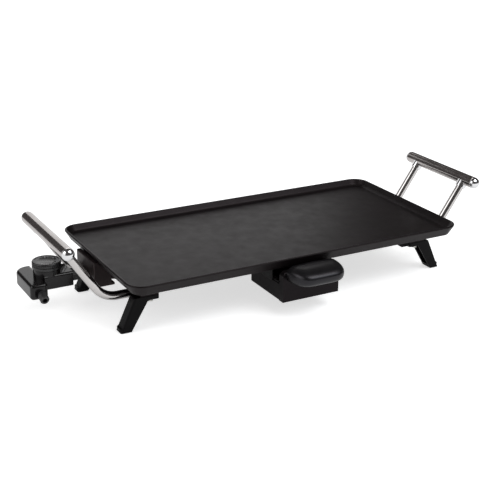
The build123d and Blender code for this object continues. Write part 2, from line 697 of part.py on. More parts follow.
def tray_rail():
    """The right rail: a folded channel under the plate, with a lip that carries the tray."""
    inner_x = RAIL_OUTER_X - RAIL_THICKNESS
    lip_x = TRAY_WAIST_HALF_WIDTH + RAIL_LIP_ROOM
    y_limits = (RAIL_FRONT_Y, RAIL_REAR_Y)
    web = block((inner_x, RAIL_OUTER_X), y_limits, (RAIL_BOTTOM, UNDERSIDE))
    top = block(
        (RAIL_OUTER_X - RAIL_TOP_WIDTH, RAIL_OUTER_X), y_limits, (UNDERSIDE - RAIL_THICKNESS, UNDERSIDE)
    )
    lip = block((lip_x, RAIL_OUTER_X), y_limits, (RAIL_BOTTOM, RAIL_BOTTOM + RAIL_THICKNESS))
    stop = block(
        (RAIL_OUTER_X - RAIL_TOP_WIDTH, RAIL_OUTER_X),
        (RAIL_REAR_Y - RAIL_STOP_THICKNESS, RAIL_REAR_Y),
        (RAIL_BOTTOM, UNDERSIDE),
    )
    rail = web + top + lip + stop
    bottom_edge = rail.edges().filter_by(Axis.Y).group_by(Axis.Z)[0].sort_by(Axis.X)[-1]
    rail = fillet(bottom_edge, RAIL_THICKNESS / 2)
    for x, y in rail_screw_places():
        hole = bar((x, y, UNDERSIDE - RAIL_THICKNESS), (x, y, UNDERSIDE), RAIL_SCREW_DIAMETER / 2 + SEAT)
        rail = rail - hole
    return rail


def rail_screws():
    """The four screws that hold the rails to the plate."""
    seat = UNDERSIDE - RAIL_THICKNESS
    length = RAIL_THICKNESS + RAIL_SCREW_GRIP
    return [screw((x, y, seat), (0, 0, 1), RAIL_SCREW_DIAMETER, length) for x, y in rail_screw_places()]


def pull_screw_places():
    """X of the two screws of the tray's pull."""
    return [-PULL_SCREW_X, PULL_SCREW_X]


def tray_front():
    """The full height front of the tray, with a rounded shoulder and a pocket behind it."""
    y_limits = (TRAY_FRONT_Y, TRAY_FRONT_Y + SHOULDER_DEPTH)
    front = block((-TRAY_HALF_WIDTH, TRAY_HALF_WIDTH), y_limits, (TRAY_BOTTOM, SHOULDER_TOP))
    top_edges = front.faces().sort_by(Axis.Z)[-1].edges().group_by(Axis.Y)
    front = fillet(top_edges[0] + top_edges[1], SHOULDER_ROUND)
    inner_half = TRAY_WAIST_HALF_WIDTH - TRAY_WALL
    return front - block(
        (-inner_half, inner_half),
        (TRAY_FRONT_Y + FRONT_THICKNESS, y_limits[1]),
        (SHOULDER_POCKET_BOTTOM, SHOULDER_POCKET_TOP),
    )


def drip_tray():
    """The tray: a tub with a groove and a flange along each side for the rails."""
    y_limits = (TRAY_FRONT_Y, TRAY_REAR_Y)
    tub = block((-TRAY_HALF_WIDTH, TRAY_HALF_WIDTH), y_limits, (TRAY_BOTTOM, TRAY_GROOVE_BOTTOM))
    tub = fillet(tub.edges().filter_by(Axis.Y).group_by(Axis.Z)[0], TRAY_SIDE_ROUND)
    waist_half = TRAY_WAIST_HALF_WIDTH
    waist = block((-waist_half, waist_half), y_limits, (TRAY_BOTTOM + TRAY_SIDE_ROUND, TRAY_TOP))
    flange_half = waist_half + TRAY_FLANGE
    flange_front_y = TRAY_FRONT_Y + SHOULDER_DEPTH
    flange = block(
        (-flange_half, flange_half), (flange_front_y, TRAY_REAR_Y), (TRAY_FLANGE_BOTTOM, TRAY_TOP)
    )
    inner_half = waist_half - TRAY_WALL
    hollow = block(
        (-inner_half, inner_half),
        (TRAY_FRONT_Y + FRONT_THICKNESS, TRAY_REAR_Y - TRAY_WALL),
        (TRAY_BOTTOM + TRAY_WALL, SHOULDER_POCKET_BOTTOM),
    )
    hollow = fillet(hollow.edges().group_by(Axis.Z)[0], TRAY_INSIDE_ROUND)
    tray = tub + waist + flange + tray_front() - hollow
    for x in pull_screw_places():
        start = (x, TRAY_FRONT_Y, PULL_SCREW_HEIGHT)
        end = (x, TRAY_FRONT_Y + FRONT_THICKNESS, PULL_SCREW_HEIGHT)
        tray = tray - bar(start, end, PULL_SCREW_DIAMETER / 2 + SEAT)
    return tray


def tray_pull():
    """The tray's pull: a solid rounded moulding in front of the tray's shoulder."""
    half = PULL_WIDTH / 2
    front_y = TRAY_FRONT_Y - PULL_REACH
    pull = block((-half, half), (front_y, TRAY_FRONT_Y), (PULL_BOTTOM, PULL_TOP))
    pull = fillet(pull.edges().filter_by(Axis.Z).group_by(Axis.Y)[0], PULL_CORNER)
    faces = pull.faces().sort_by(Axis.Z)
    rim = [edge for face in (faces[0], faces[-1]) for edge in face.edges()]
    pull = fillet([edge for edge in rim if edge.center().Y < TRAY_FRONT_Y - FLAT_RUN], PULL_ROUND)
    for x in pull_screw_places():
        start = (x, TRAY_FRONT_Y, PULL_SCREW_HEIGHT)
        end = (x, TRAY_FRONT_Y - PULL_SCREW_GRIP - FLAT_RUN, PULL_SCREW_HEIGHT)
        pull = pull - bar(start, end, PULL_SCREW_DIAMETER / 2 + SEAT)
    return pull


def pull_screws():
    """The two screws that hold the pull, driven from the pocket behind the tray's front."""
    seat_y = TRAY_FRONT_Y + FRONT_THICKNESS
    length = FRONT_THICKNESS + PULL_SCREW_GRIP
    return [
        screw((x, seat_y, PULL_SCREW_HEIGHT), (0, -1, 0), PULL_SCREW_DIAMETER, length)
        for x in pull_screw_places()
    ]


# ---------------------------------------------------------------- socket shroud


def socket_shroud():
    """The hood round the pins, with a mouth for the plug and a tongue screwed under the block."""
    wall = SHROUD_WALL
    lean = WALL_LEAN / WALL_HEIGHT
    lip_top = UNDERSIDE + SHROUD_LIP_RISE
    base_x = -END_X + WALL_LEAN - SHROUD_LIP_ROOM
    side = Polyline(
        (SHROUD_RIGHT_X, 0, SHROUD_BOTTOM),
        (SHROUD_LEFT_X, 0, SHROUD_BOTTOM),
        (SHROUD_LEFT_X, 0, lip_top),
        (base_x - SHROUD_LIP_RISE * lean, 0, lip_top),
        (base_x, 0, UNDERSIDE),
        (SHROUD_RIGHT_X, 0, UNDERSIDE),
        close=True,
    )
    middle_y = (SHROUD_FRONT_Y + SHROUD_BACK_Y) / 2
    half_y = (SHROUD_BACK_Y - SHROUD_FRONT_Y) / 2
    hood = Pos(0, middle_y, 0) * extrude(make_face(side), half_y, both=True)
    notch_y = ROD_Y - ROD_DIAMETER / 2 - ROD_ROOM
    notch_top = ROD_HEIGHT + ROD_DIAMETER / 2 + ROD_ROOM
    x_limits = (SHROUD_LEFT_X, SHROUD_RIGHT_X)
    hood = hood - block(x_limits, (notch_y, SHROUD_BACK_Y), (SHROUD_BOTTOM, notch_top))
    hood = fillet(hood.faces().sort_by(Axis.X)[0].edges(), SHROUD_ROUND)
    inside_x = (SHROUD_LEFT_X + wall, SHROUD_RIGHT_X)
    ceiling = UNDERSIDE - wall
    hood = hood - block(inside_x, (SHROUD_FRONT_Y + wall, notch_y - wall), (SHROUD_BOTTOM + wall, ceiling))
    hood = hood - block(inside_x, (notch_y - wall, SHROUD_BACK_Y - wall), (notch_top + wall, ceiling))
    floor = block(
        (SHROUD_RIGHT_X - wall, -LUG_OUTER_X),
        (SHROUD_FRONT_Y, BLOCK_BACK_Y - FLAT_RUN),
        (SHROUD_BOTTOM, BLOCK_BOTTOM),
    )
    tongue = block(
        (-LUG_OUTER_X, -LUG_OUTER_X + TONGUE_LENGTH),
        (BLOCK_FRONT_Y, BLOCK_BACK_Y - FLAT_RUN),
        (SHROUD_BOTTOM, BLOCK_BOTTOM),
    )
    hood = hood + floor + tongue
    for x, y in shroud_screw_places():
        hole = bar((x, y, SHROUD_BOTTOM), (x, y, BLOCK_BOTTOM), SHROUD_SCREW_DIAMETER / 2 + SEAT)
        hood = hood - hole
    half_mouth = NOSE_WIDTH / 2 + FLAT_RUN
    mouth = block(
        (SHROUD_LEFT_X, SHROUD_LEFT_X + wall),
        (PLUG_Y - half_mouth, PLUG_Y + half_mouth),
        (NOSE_BOTTOM - FLAT_RUN, NOSE_TOP + FLAT_RUN),
    )
    return hood - mouth


def shroud_screws():
    """The two screws under the terminal block."""
    return [
        screw((x, y, SHROUD_BOTTOM), (0, 0, 1), SHROUD_SCREW_DIAMETER, SHROUD_SCREW_LENGTH)
        for x, y in shroud_screw_places()
    ]


# ---------------------------------------------------------------- thermostat


def case_plan(inset):
    """The outline of the wide part of the thermostat, drawn in by an inset."""
    length = CASE_LENGTH - 2 * inset
    width = CASE_BACK_Y - CASE_FRONT_Y - 2 * inset
    plan = Pos((CASE_LEFT_X + CASE_RIGHT_X) / 2, CASE_MIDDLE_Y) * Rectangle(length, width)
    back_left = plan.vertices().group_by(Axis.X)[0].sort_by(Axis.Y)[-1]
    plan = fillet(back_left, CASE_BACK_CORNER - inset)
    others = [v for v in plan.vertices() if v.Y < CASE_MIDDLE_Y or v.X > CASE_RIGHT_X - 2 * inset]
    return fillet(others, CASE_FRONT_CORNER - inset)


def neck_body(inset, left_x, bottom, top):
    """The neck between the wide part and the nose, drawn in by an inset, between two heights."""
    half = NECK_WIDTH / 2 - inset
    return block((left_x + inset, NECK_END_X - inset), (PLUG_Y - half, PLUG_Y + half), (bottom, top))


def lower_form(inset):
    """The lower half of the thermostat as a full form, drawn in by an inset."""
    wide = extrude(Pos(0, 0, CASE_BOTTOM + inset) * case_plan(inset), CASE_SEAM - CASE_BOTTOM - inset)
    wide = fillet(wide.edges().group_by(Axis.Z)[0], CASE_BOTTOM_ROUND - inset)
    neck = neck_body(inset, CASE_SCREW_X, NECK_BOTTOM + inset, CASE_SEAM)
    neck = fillet(neck.edges().filter_by(Axis.X).group_by(Axis.Z)[0], NECK_ROUND - inset / 2)
    return wide + neck


def upper_form(inset):
    """The upper half of the thermostat as a full form, drawn in by an inset."""
    wide = extrude(Pos(0, 0, CASE_SEAM) * case_plan(inset), CASE_TOP - inset - CASE_SEAM)
    wide = fillet(wide.edges().group_by(Axis.Z)[-1], CASE_TOP_ROUND - inset)
    neck = neck_body(inset, NECK_STEP_X, CASE_SEAM, NECK_TOP - inset)
    neck = fillet(neck.edges().filter_by(Axis.X).group_by(Axis.Z)[-1], NECK_ROUND - inset / 2)
    pedestal = bar(
        (DIAL_X, PLUG_Y, CASE_SEAM), (DIAL_X, PLUG_Y, PEDESTAL_TOP - inset), PEDESTAL_DIAMETER / 2 - inset
    )
    return wide + neck + pedestal


def case_screw_places():
    """Y of the two case screws."""
    return [CASE_MIDDLE_Y - CASE_SCREW_SPREAD / 2, CASE_MIDDLE_Y + CASE_SCREW_SPREAD / 2]


def nose_gap():
    """The opening in the end of the neck for the nose."""
    half = NOSE_WIDTH / 2 + FLAT_RUN
    return block(
        (NECK_END_X - CASE_WALL, NECK_END_X),
        (PLUG_Y - half, PLUG_Y + half),
        (NOSE_BOTTOM - FLAT_RUN, NOSE_TOP + FLAT_RUN),
    )


def lower_case():
    """The lower shell of the thermostat, with two screw posts and the hole for the gland."""
    shell = lower_form(0) - lower_form(CASE_WALL) - nose_gap()
    for y in case_screw_places():
        post = bar(
            (CASE_SCREW_X, y, CASE_BOTTOM + CASE_WALL),
            (CASE_SCREW_X, y, CASE_SEAM),
            CASE_POST_DIAMETER / 2,
        )
        shell = shell + post
    for y in case_screw_places():
        low = (CASE_SCREW_X, y, CASE_BOTTOM)
        seat = (CASE_SCREW_X, y, CASE_BOTTOM + CASE_WALL)
        shell = shell - bar(low, (CASE_SCREW_X, y, CASE_SEAM), CASE_SCREW_DIAMETER / 2 + SEAT)
        shell = shell - bar(low, seat, CASE_SCREW_DIAMETER * HEAD_RATIO / 2 + SEAT)
    return shell - bar(GLAND_START, GLAND_END, GLAND_DIAMETER / 2 + SEAT)


def upper_case():
    """The upper shell of the thermostat, with the pedestal that carries the dial."""
    shell = upper_form(0) - upper_form(CASE_WALL) - nose_gap()
    post_top = CASE_TOP - CASE_WALL
    screw_top = CASE_TOP - 2 * CASE_WALL
    for y in case_screw_places():
        shell = shell + bar(
            (CASE_SCREW_X, y, CASE_SEAM), (CASE_SCREW_X, y, post_top), CASE_POST_DIAMETER / 2
        )
        shell = shell - bar(
            (CASE_SCREW_X, y, CASE_SEAM), (CASE_SCREW_X, y, screw_top), CASE_SCREW_DIAMETER / 2 + SEAT
        )
    hole = bar(
        (DIAL_X, PLUG_Y, PEDESTAL_TOP - CASE_WALL),
        (DIAL_X, PLUG_Y, PEDESTAL_TOP),
        SPINDLE_DIAMETER / 2 + RUN,
    )
    return shell - hole


def case_screws():
    """The two screws that close the thermostat."""
    seat = CASE_BOTTOM + CASE_WALL
    length = CASE_TOP - 2 * CASE_WALL - FLAT_RUN - seat
    return [
        screw((CASE_SCREW_X, y, seat), (0, 0, 1), CASE_SCREW_DIAMETER, length)
        for y in case_screw_places()
    ]


def plug_nose():
    """The heat-resistant nose that goes into the shroud, with two socket bores and the probe's bore."""
    half = NOSE_WIDTH / 2
    flange_half = NOSE_FLANGE_WIDTH / 2
    flange_x = NECK_END_X - CASE_WALL
    nose = block(
        (flange_x - NOSE_FLANGE_LENGTH, NOSE_END_X),
        (PLUG_Y - half, PLUG_Y + half),
        (NOSE_BOTTOM, NOSE_TOP),
    )
    nose = fillet(nose.edges().filter_by(Axis.X), NOSE_CORNER)
    nose = chamfer(nose.edges().group_by(Axis.X)[-1], NOSE_CORNER / 2)
    flange = block(
        (flange_x - NOSE_FLANGE_LENGTH, flange_x),
        (PLUG_Y - flange_half, PLUG_Y + flange_half),
        (NOSE_BOTTOM, NECK_TOP - 2 * CASE_WALL),
    )
    nose = nose + flange
    back_x = flange_x - NOSE_FLANGE_LENGTH
    socket_back = NOSE_END_X - SOCKET_RECESS - SOCKET_LENGTH
    for y in pin_lines():
        nose = nose - bar(
            (socket_back, y, PIN_HEIGHT), (NOSE_END_X, y, PIN_HEIGHT), SOCKET_DIAMETER / 2 + SEAT
        )
        nose = nose - bar((back_x, y, PIN_HEIGHT), (socket_back, y, PIN_HEIGHT), STEM_DIAMETER / 2 + SEAT)
    return nose - bar(
        (back_x, PLUG_Y, PIN_HEIGHT), (NOSE_END_X, PLUG_Y, PIN_HEIGHT), PROBE_DIAMETER / 2 + SEAT
    )


def contact_sockets():
    """The two sockets that grip the pins, each with a stem back to the switch."""
    front = NOSE_END_X - SOCKET_RECESS
    back = front - SOCKET_LENGTH
    sockets = []
    for y in pin_lines():
        sleeve = bar((back, y, PIN_HEIGHT), (front, y, PIN_HEIGHT), SOCKET_DIAMETER / 2)
        bore_end = -LUG_OUTER_X - PIN_REACH - FLAT_RUN
        bore = bar((bore_end, y, PIN_HEIGHT), (front, y, PIN_HEIGHT), PIN_DIAMETER / 2 + RUN)
        stem = bar((SWITCH_RIGHT_X, y, PIN_HEIGHT), (back, y, PIN_HEIGHT), STEM_DIAMETER / 2)
        sockets.append(sleeve - bore + stem)
    return sockets


def temperature_probe():
    """The closed tube that feels the plate's heat, from the switch into the terminal block."""
    tip = -LUG_OUTER_X + PROBE_INSERT
    probe = bar((SWITCH_RIGHT_X, PLUG_Y, PIN_HEIGHT), (tip, PLUG_Y, PIN_HEIGHT), PROBE_DIAMETER / 2)
    return fillet(probe.edges().group_by(Axis.X)[-1], PROBE_DIAMETER / 2 - SEAT)


def switch_base():
    """The insulating base of the switch, with a raised foot for the blade."""
    half = SWITCH_WIDTH / 2
    base = block(
        (SWITCH_LEFT_X, SWITCH_RIGHT_X),
        (PLUG_Y - half, PLUG_Y + half),
        (NECK_BOTTOM + CASE_WALL, SWITCH_TOP),
    )
    foot = block(
        (SWITCH_LEFT_X, SWITCH_LEFT_X + BLADE_FOOT),
        (PLUG_Y - BLADE_WIDTH / 2, PLUG_Y + BLADE_WIDTH / 2),
        (SWITCH_TOP, BLADE_BOTTOM),
    )
    return base + foot


def bimetal_blade():
    """The blade that bends with heat, fixed to the foot and pressed by the spindle."""
    half = BLADE_WIDTH / 2
    return block(
        (SWITCH_LEFT_X, SWITCH_RIGHT_X - BLADE_FOOT),
        (PLUG_Y - half, PLUG_Y + half),
        (BLADE_BOTTOM, BLADE_BOTTOM + BLADE_THICKNESS),
    )


def temperature_dial():
    """The dial: a flat-topped knob with a groove round its side and a blind socket for its spindle."""
    radius = DIAL_DIAMETER / 2
    knob = bar((DIAL_X, PLUG_Y, DIAL_BOTTOM), (DIAL_X, PLUG_Y, DIAL_TOP), radius)
    knob = fillet(knob.edges().group_by(Axis.Z)[-1], DIAL_ROUND)
    groove_bottom = DIAL_BOTTOM + DIAL_GROOVE_HEIGHT
    ends = [(DIAL_X, PLUG_Y, groove_bottom), (DIAL_X, PLUG_Y, groove_bottom + DIAL_GROOVE_WIDTH)]
    groove = bar(*ends, radius + FLAT_RUN) - bar(*ends, radius - DIAL_GROOVE_DEPTH)
    socket = bar(
        (DIAL_X, PLUG_Y, DIAL_BOTTOM),
        (DIAL_X, PLUG_Y, DIAL_BOTTOM + DIAL_SOCKET_DEPTH),
        SPINDLE_DIAMETER / 2 + SEAT,
    )
    return knob - groove - socket


def dial_spindle():
    """The spindle between dial and blade, with a flange that keeps it under the case."""
    shaft = bar(
        (DIAL_X, PLUG_Y, SPINDLE_BOTTOM),
        (DIAL_X, PLUG_Y, DIAL_BOTTOM + DIAL_SOCKET_DEPTH),
        SPINDLE_DIAMETER / 2,
    )
    flange_top = PEDESTAL_TOP - CASE_WALL - FLAT_RUN
    flange = bar(
        (DIAL_X, PLUG_Y, flange_top - SPINDLE_FLANGE_THICKNESS),
        (DIAL_X, PLUG_Y, flange_top),
        SPINDLE_FLANGE_DIAMETER / 2,
    )
    return shaft + flange


def cord_gland():
    """The open gland in the thermostat's front, where a cord goes in."""
    outer = bar(GLAND_START, GLAND_END, GLAND_DIAMETER / 2)
    rims = outer.edges().filter_by(GeomType.CIRCLE).sort_by(Axis.Y)
    outer = fillet(rims[0], GLAND_ROUND)
    return outer - bar(GLAND_START, GLAND_END, GLAND_BORE / 2)


# ---------------------------------------------------------------- assembly


def build_nodes():
    """Every node's solids, by name, in the layout frame."""
    back_right_leg = leg()
    rod = handle_rod()
    grip = grip_tube()
    caps = both_sides(grip_cap())
    collars = both_sides(rod_collar())
    rail = tray_rail()
    nodes = {
        "griddle_plate": [griddle_plate()],
        "heating_element": [heating_element()],
        "terminal_pins": terminal_pins(),
        "terminal_bushings": terminal_bushings(),
        "socket_shroud": [socket_shroud()],
        "shroud_screws": shroud_screws(),
        "leg_screws": leg_screws(),
        "foot_pads": four_corners(foot_pad()),
        "lug_screws": four_corners(lug_screw()),
        "tray_rail_right": [rail],
        "tray_rail_left": [rail.mirror(Plane.YZ)],
        "rail_screws": rail_screws(),
        "drip_tray": [drip_tray()],
        "tray_pull": [tray_pull()],
        "pull_screws": pull_screws(),
        "thermostat_lower_case": [lower_case()],
        "thermostat_upper_case": [upper_case()],
        "case_screws": case_screws(),
        "plug_nose": [plug_nose()],
        "contact_sockets": contact_sockets(),
        "temperature_probe": [temperature_probe()],
        "switch_base": [switch_base()],
        "bimetal_blade": [bimetal_blade()],
        "temperature_dial": [temperature_dial()],
        "dial_spindle": [dial_spindle()],
        "cord_gland": [cord_gland()],
    }
    corner_names = ("back_right", "front_right", "back_left", "front_left")
    for name, leg_solid in zip(corner_names, four_corners(back_right_leg)):
        nodes["leg_" + name] = [leg_solid]
    for name, rod_solid in zip(corner_names, four_corners(rod)):
        nodes["handle_rod_" + name] = [rod_solid]
    for end, place in (("right", lambda s: s), ("left", lambda s: s.mirror(Plane.YZ))):
        nodes["grip_tube_" + end] = [place(grip)]
        nodes["grip_caps_" + end] = [place(cap) for cap in caps]
        nodes["rod_collars_" + end] = [place(collar) for collar in collars]
    return nodes


def write_nodes(nodes):
    """Move every node so that the origin lies under the middle of the footprint, and write it."""
    os.makedirs("parts", exist_ok=True)
    boxes = [solid.bounding_box() for solids in nodes.values() for solid in solids]
    middle_x = (min(b.min.X for b in boxes) + max(b.max.X for b in boxes)) / 2
    middle_y = (min(b.min.Y for b in boxes) + max(b.max.Y for b in boxes)) / 2
    place = Pos(-middle_x, -middle_y, 0)
    for name, solids in nodes.items():
        moved = [place * solid for solid in solids]
        export_step(Compound(moved), "parts/" + name + ".step")


write_nodes(build_nodes())
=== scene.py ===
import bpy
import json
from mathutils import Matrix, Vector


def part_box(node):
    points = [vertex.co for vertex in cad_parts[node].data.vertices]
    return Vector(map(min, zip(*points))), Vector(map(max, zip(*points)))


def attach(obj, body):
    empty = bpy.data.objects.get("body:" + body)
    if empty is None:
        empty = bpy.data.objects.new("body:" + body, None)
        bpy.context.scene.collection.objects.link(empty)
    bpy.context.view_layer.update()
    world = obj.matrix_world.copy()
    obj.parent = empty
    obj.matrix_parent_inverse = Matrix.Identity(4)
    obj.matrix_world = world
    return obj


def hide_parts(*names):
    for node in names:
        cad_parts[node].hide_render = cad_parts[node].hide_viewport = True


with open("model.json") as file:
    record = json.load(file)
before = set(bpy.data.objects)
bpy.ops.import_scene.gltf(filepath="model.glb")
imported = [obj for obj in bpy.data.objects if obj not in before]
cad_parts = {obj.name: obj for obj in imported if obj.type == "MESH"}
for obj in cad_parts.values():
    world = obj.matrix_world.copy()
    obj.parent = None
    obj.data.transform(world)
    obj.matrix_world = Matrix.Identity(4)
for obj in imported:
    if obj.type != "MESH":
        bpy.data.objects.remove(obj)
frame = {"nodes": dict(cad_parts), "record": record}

"""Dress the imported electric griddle, light it and set its camera."""

import json
import logging
import math
from dataclasses import dataclass
from enum import Enum

import bmesh
import bpy
from mathutils import Matrix, Vector

LOG = logging.getLogger("griddle")
MM = 0.001
MOTTLE_SPAN = (0.32, 0.68)
GLOSS_SPAN = (0.3, 0.7)
WELD_DISTANCE = 1e-6
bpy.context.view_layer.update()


class Grain(Enum):
    """How the fine relief of a finish runs."""

    EVEN = "even"
    ALONG_X = "along_x"
    ALONG_Y = "along_y"
    ALONG_Z = "along_z"


@dataclass(frozen=True)
class Finish:
    """A surface finish, with its tint, gloss and fine relief.

    The two tints are mixed by a slow mottle, the two roughnesses by a finer one, and the relief is
    a bump of the given grain size and height.
    """

    name: str
    tint: tuple[float, float, float]
    shade: tuple[float, float, float]
    smooth: float
    rough: float
    metallic: float = 0.0
    coat: float = 0.0
    coat_rough: float = 0.1
    specular: float = 0.5
    gleam: tuple[float, float, float] = (1.0, 1.0, 1.0)
    mottle_mm: float = 30.0
    grain_mm: float = 0.8
    relief_mm: float = 0.02
    grain: Grain = Grain.EVEN
    stretch: float = 30.0

    def material(self) -> bpy.types.Material:
        """Build the material, or give it back if it is there already.

        Returns:
            The finish as a node material.
        """
        label = "finish_" + self.name
        made = bpy.data.materials.get(label)
        if made is not None:
            return made
        made = bpy.data.materials.new(label)
        made.use_nodes = True
        tree = made.node_tree
        shader = tree.nodes["Principled BSDF"]
        shader.inputs["Metallic"].default_value = self.metallic
        shader.inputs["Coat Weight"].default_value = self.coat
        shader.inputs["Coat Roughness"].default_value = self.coat_rough
        shader.inputs["Specular IOR Level"].default_value = self.specular
        shader.inputs["Specular Tint"].default_value = (*self.gleam, 1.0)
        place = tree.nodes.new("ShaderNodeTexCoord")
        self._tint(tree, place, shader)
        self._gloss(tree, place, shader)
        self._relief(tree, place, shader)
        return made

    def _noise(self, tree: bpy.types.NodeTree, place: bpy.types.Node, size_mm: float,
               detail: float, scale: tuple[float, float, float]) -> bpy.types.Node:
        """Add a noise on object coordinates.

        Args:
            tree: The material's tree.
            place: The coordinate node.
            size_mm: The size of one patch of the noise.
            detail: How many finer layers it has.
            scale: The stretch of the coordinates along X, Y and Z.

        Returns:
            The noise node.
        """
        mapping = tree.nodes.new("ShaderNodeMapping")
        mapping.inputs["Scale"].default_value = scale
        noise = tree.nodes.new("ShaderNodeTexNoise")
        noise.inputs["Scale"].default_value = 1.0 / (size_mm * MM)
        noise.inputs["Detail"].default_value = detail
        tree.links.new(place.outputs["Object"], mapping.inputs["Vector"])
        tree.links.new(mapping.outputs["Vector"], noise.inputs["Vector"])
        return noise

    def _tint(self, tree: bpy.types.NodeTree, place: bpy.types.Node, shader: bpy.types.Node) -> None:
        """Mix the two tints by the slow mottle.

        Args:
            tree: The material's tree.
            place: The coordinate node.
            shader: The shader to feed.
        """
        noise = self._noise(tree, place, self.mottle_mm, 4.0, (1.0, 1.0, 1.0))
        ramp = tree.nodes.new("ShaderNodeValToRGB")
        ramp.color_ramp.elements[0].position = MOTTLE_SPAN[0]
        ramp.color_ramp.elements[1].position = MOTTLE_SPAN[1]
        ramp.color_ramp.elements[0].color = (*self.shade, 1.0)
        ramp.color_ramp.elements[1].color = (*self.tint, 1.0)
        tree.links.new(noise.outputs["Fac"], ramp.inputs["Fac"])
        tree.links.new(ramp.outputs["Color"], shader.inputs["Base Color"])

    def _gloss(self, tree: bpy.types.NodeTree, place: bpy.types.Node, shader: bpy.types.Node) -> None:
        """Mix the two roughnesses by a finer mottle.

        Args:
            tree: The material's tree.
            place: The coordinate node.
            shader: The shader to feed.
        """
        noise = self._noise(tree, place, self.mottle_mm / 4, 5.0, (1.0, 1.0, 1.0))
        span = tree.nodes.new("ShaderNodeMapRange")
        span.inputs["From Min"].default_value = GLOSS_SPAN[0]
        span.inputs["From Max"].default_value = GLOSS_SPAN[1]
        span.inputs["To Min"].default_value = self.smooth
        span.inputs["To Max"].default_value = self.rough
        tree.links.new(noise.outputs["Fac"], span.inputs["Value"])
        tree.links.new(span.outputs["Result"], shader.inputs["Roughness"])

    def _relief(self, tree: bpy.types.NodeTree, place: bpy.types.Node, shader: bpy.types.Node) -> None:
        """Add the fine relief as a bump.

        Args:
            tree: The material's tree.
            place: The coordinate node.
            shader: The shader to feed.
        """
        along = 1.0 / self.stretch
        scale = {
            Grain.EVEN: (1.0, 1.0, 1.0),
            Grain.ALONG_X: (along, 1.0, 1.0),
            Grain.ALONG_Y: (1.0, along, 1.0),
            Grain.ALONG_Z: (1.0, 1.0, along),
        }[self.grain]
        noise = self._noise(tree, place, self.grain_mm, 2.0, scale)
        bump = tree.nodes.new("ShaderNodeBump")
        bump.inputs["Strength"].default_value = 1.0
        bump.inputs["Distance"].default_value = self.relief_mm * MM
        tree.links.new(noise.outputs["Fac"], bump.inputs["Height"])
        tree.links.new(bump.outputs["Normal"], shader.inputs["Normal"])


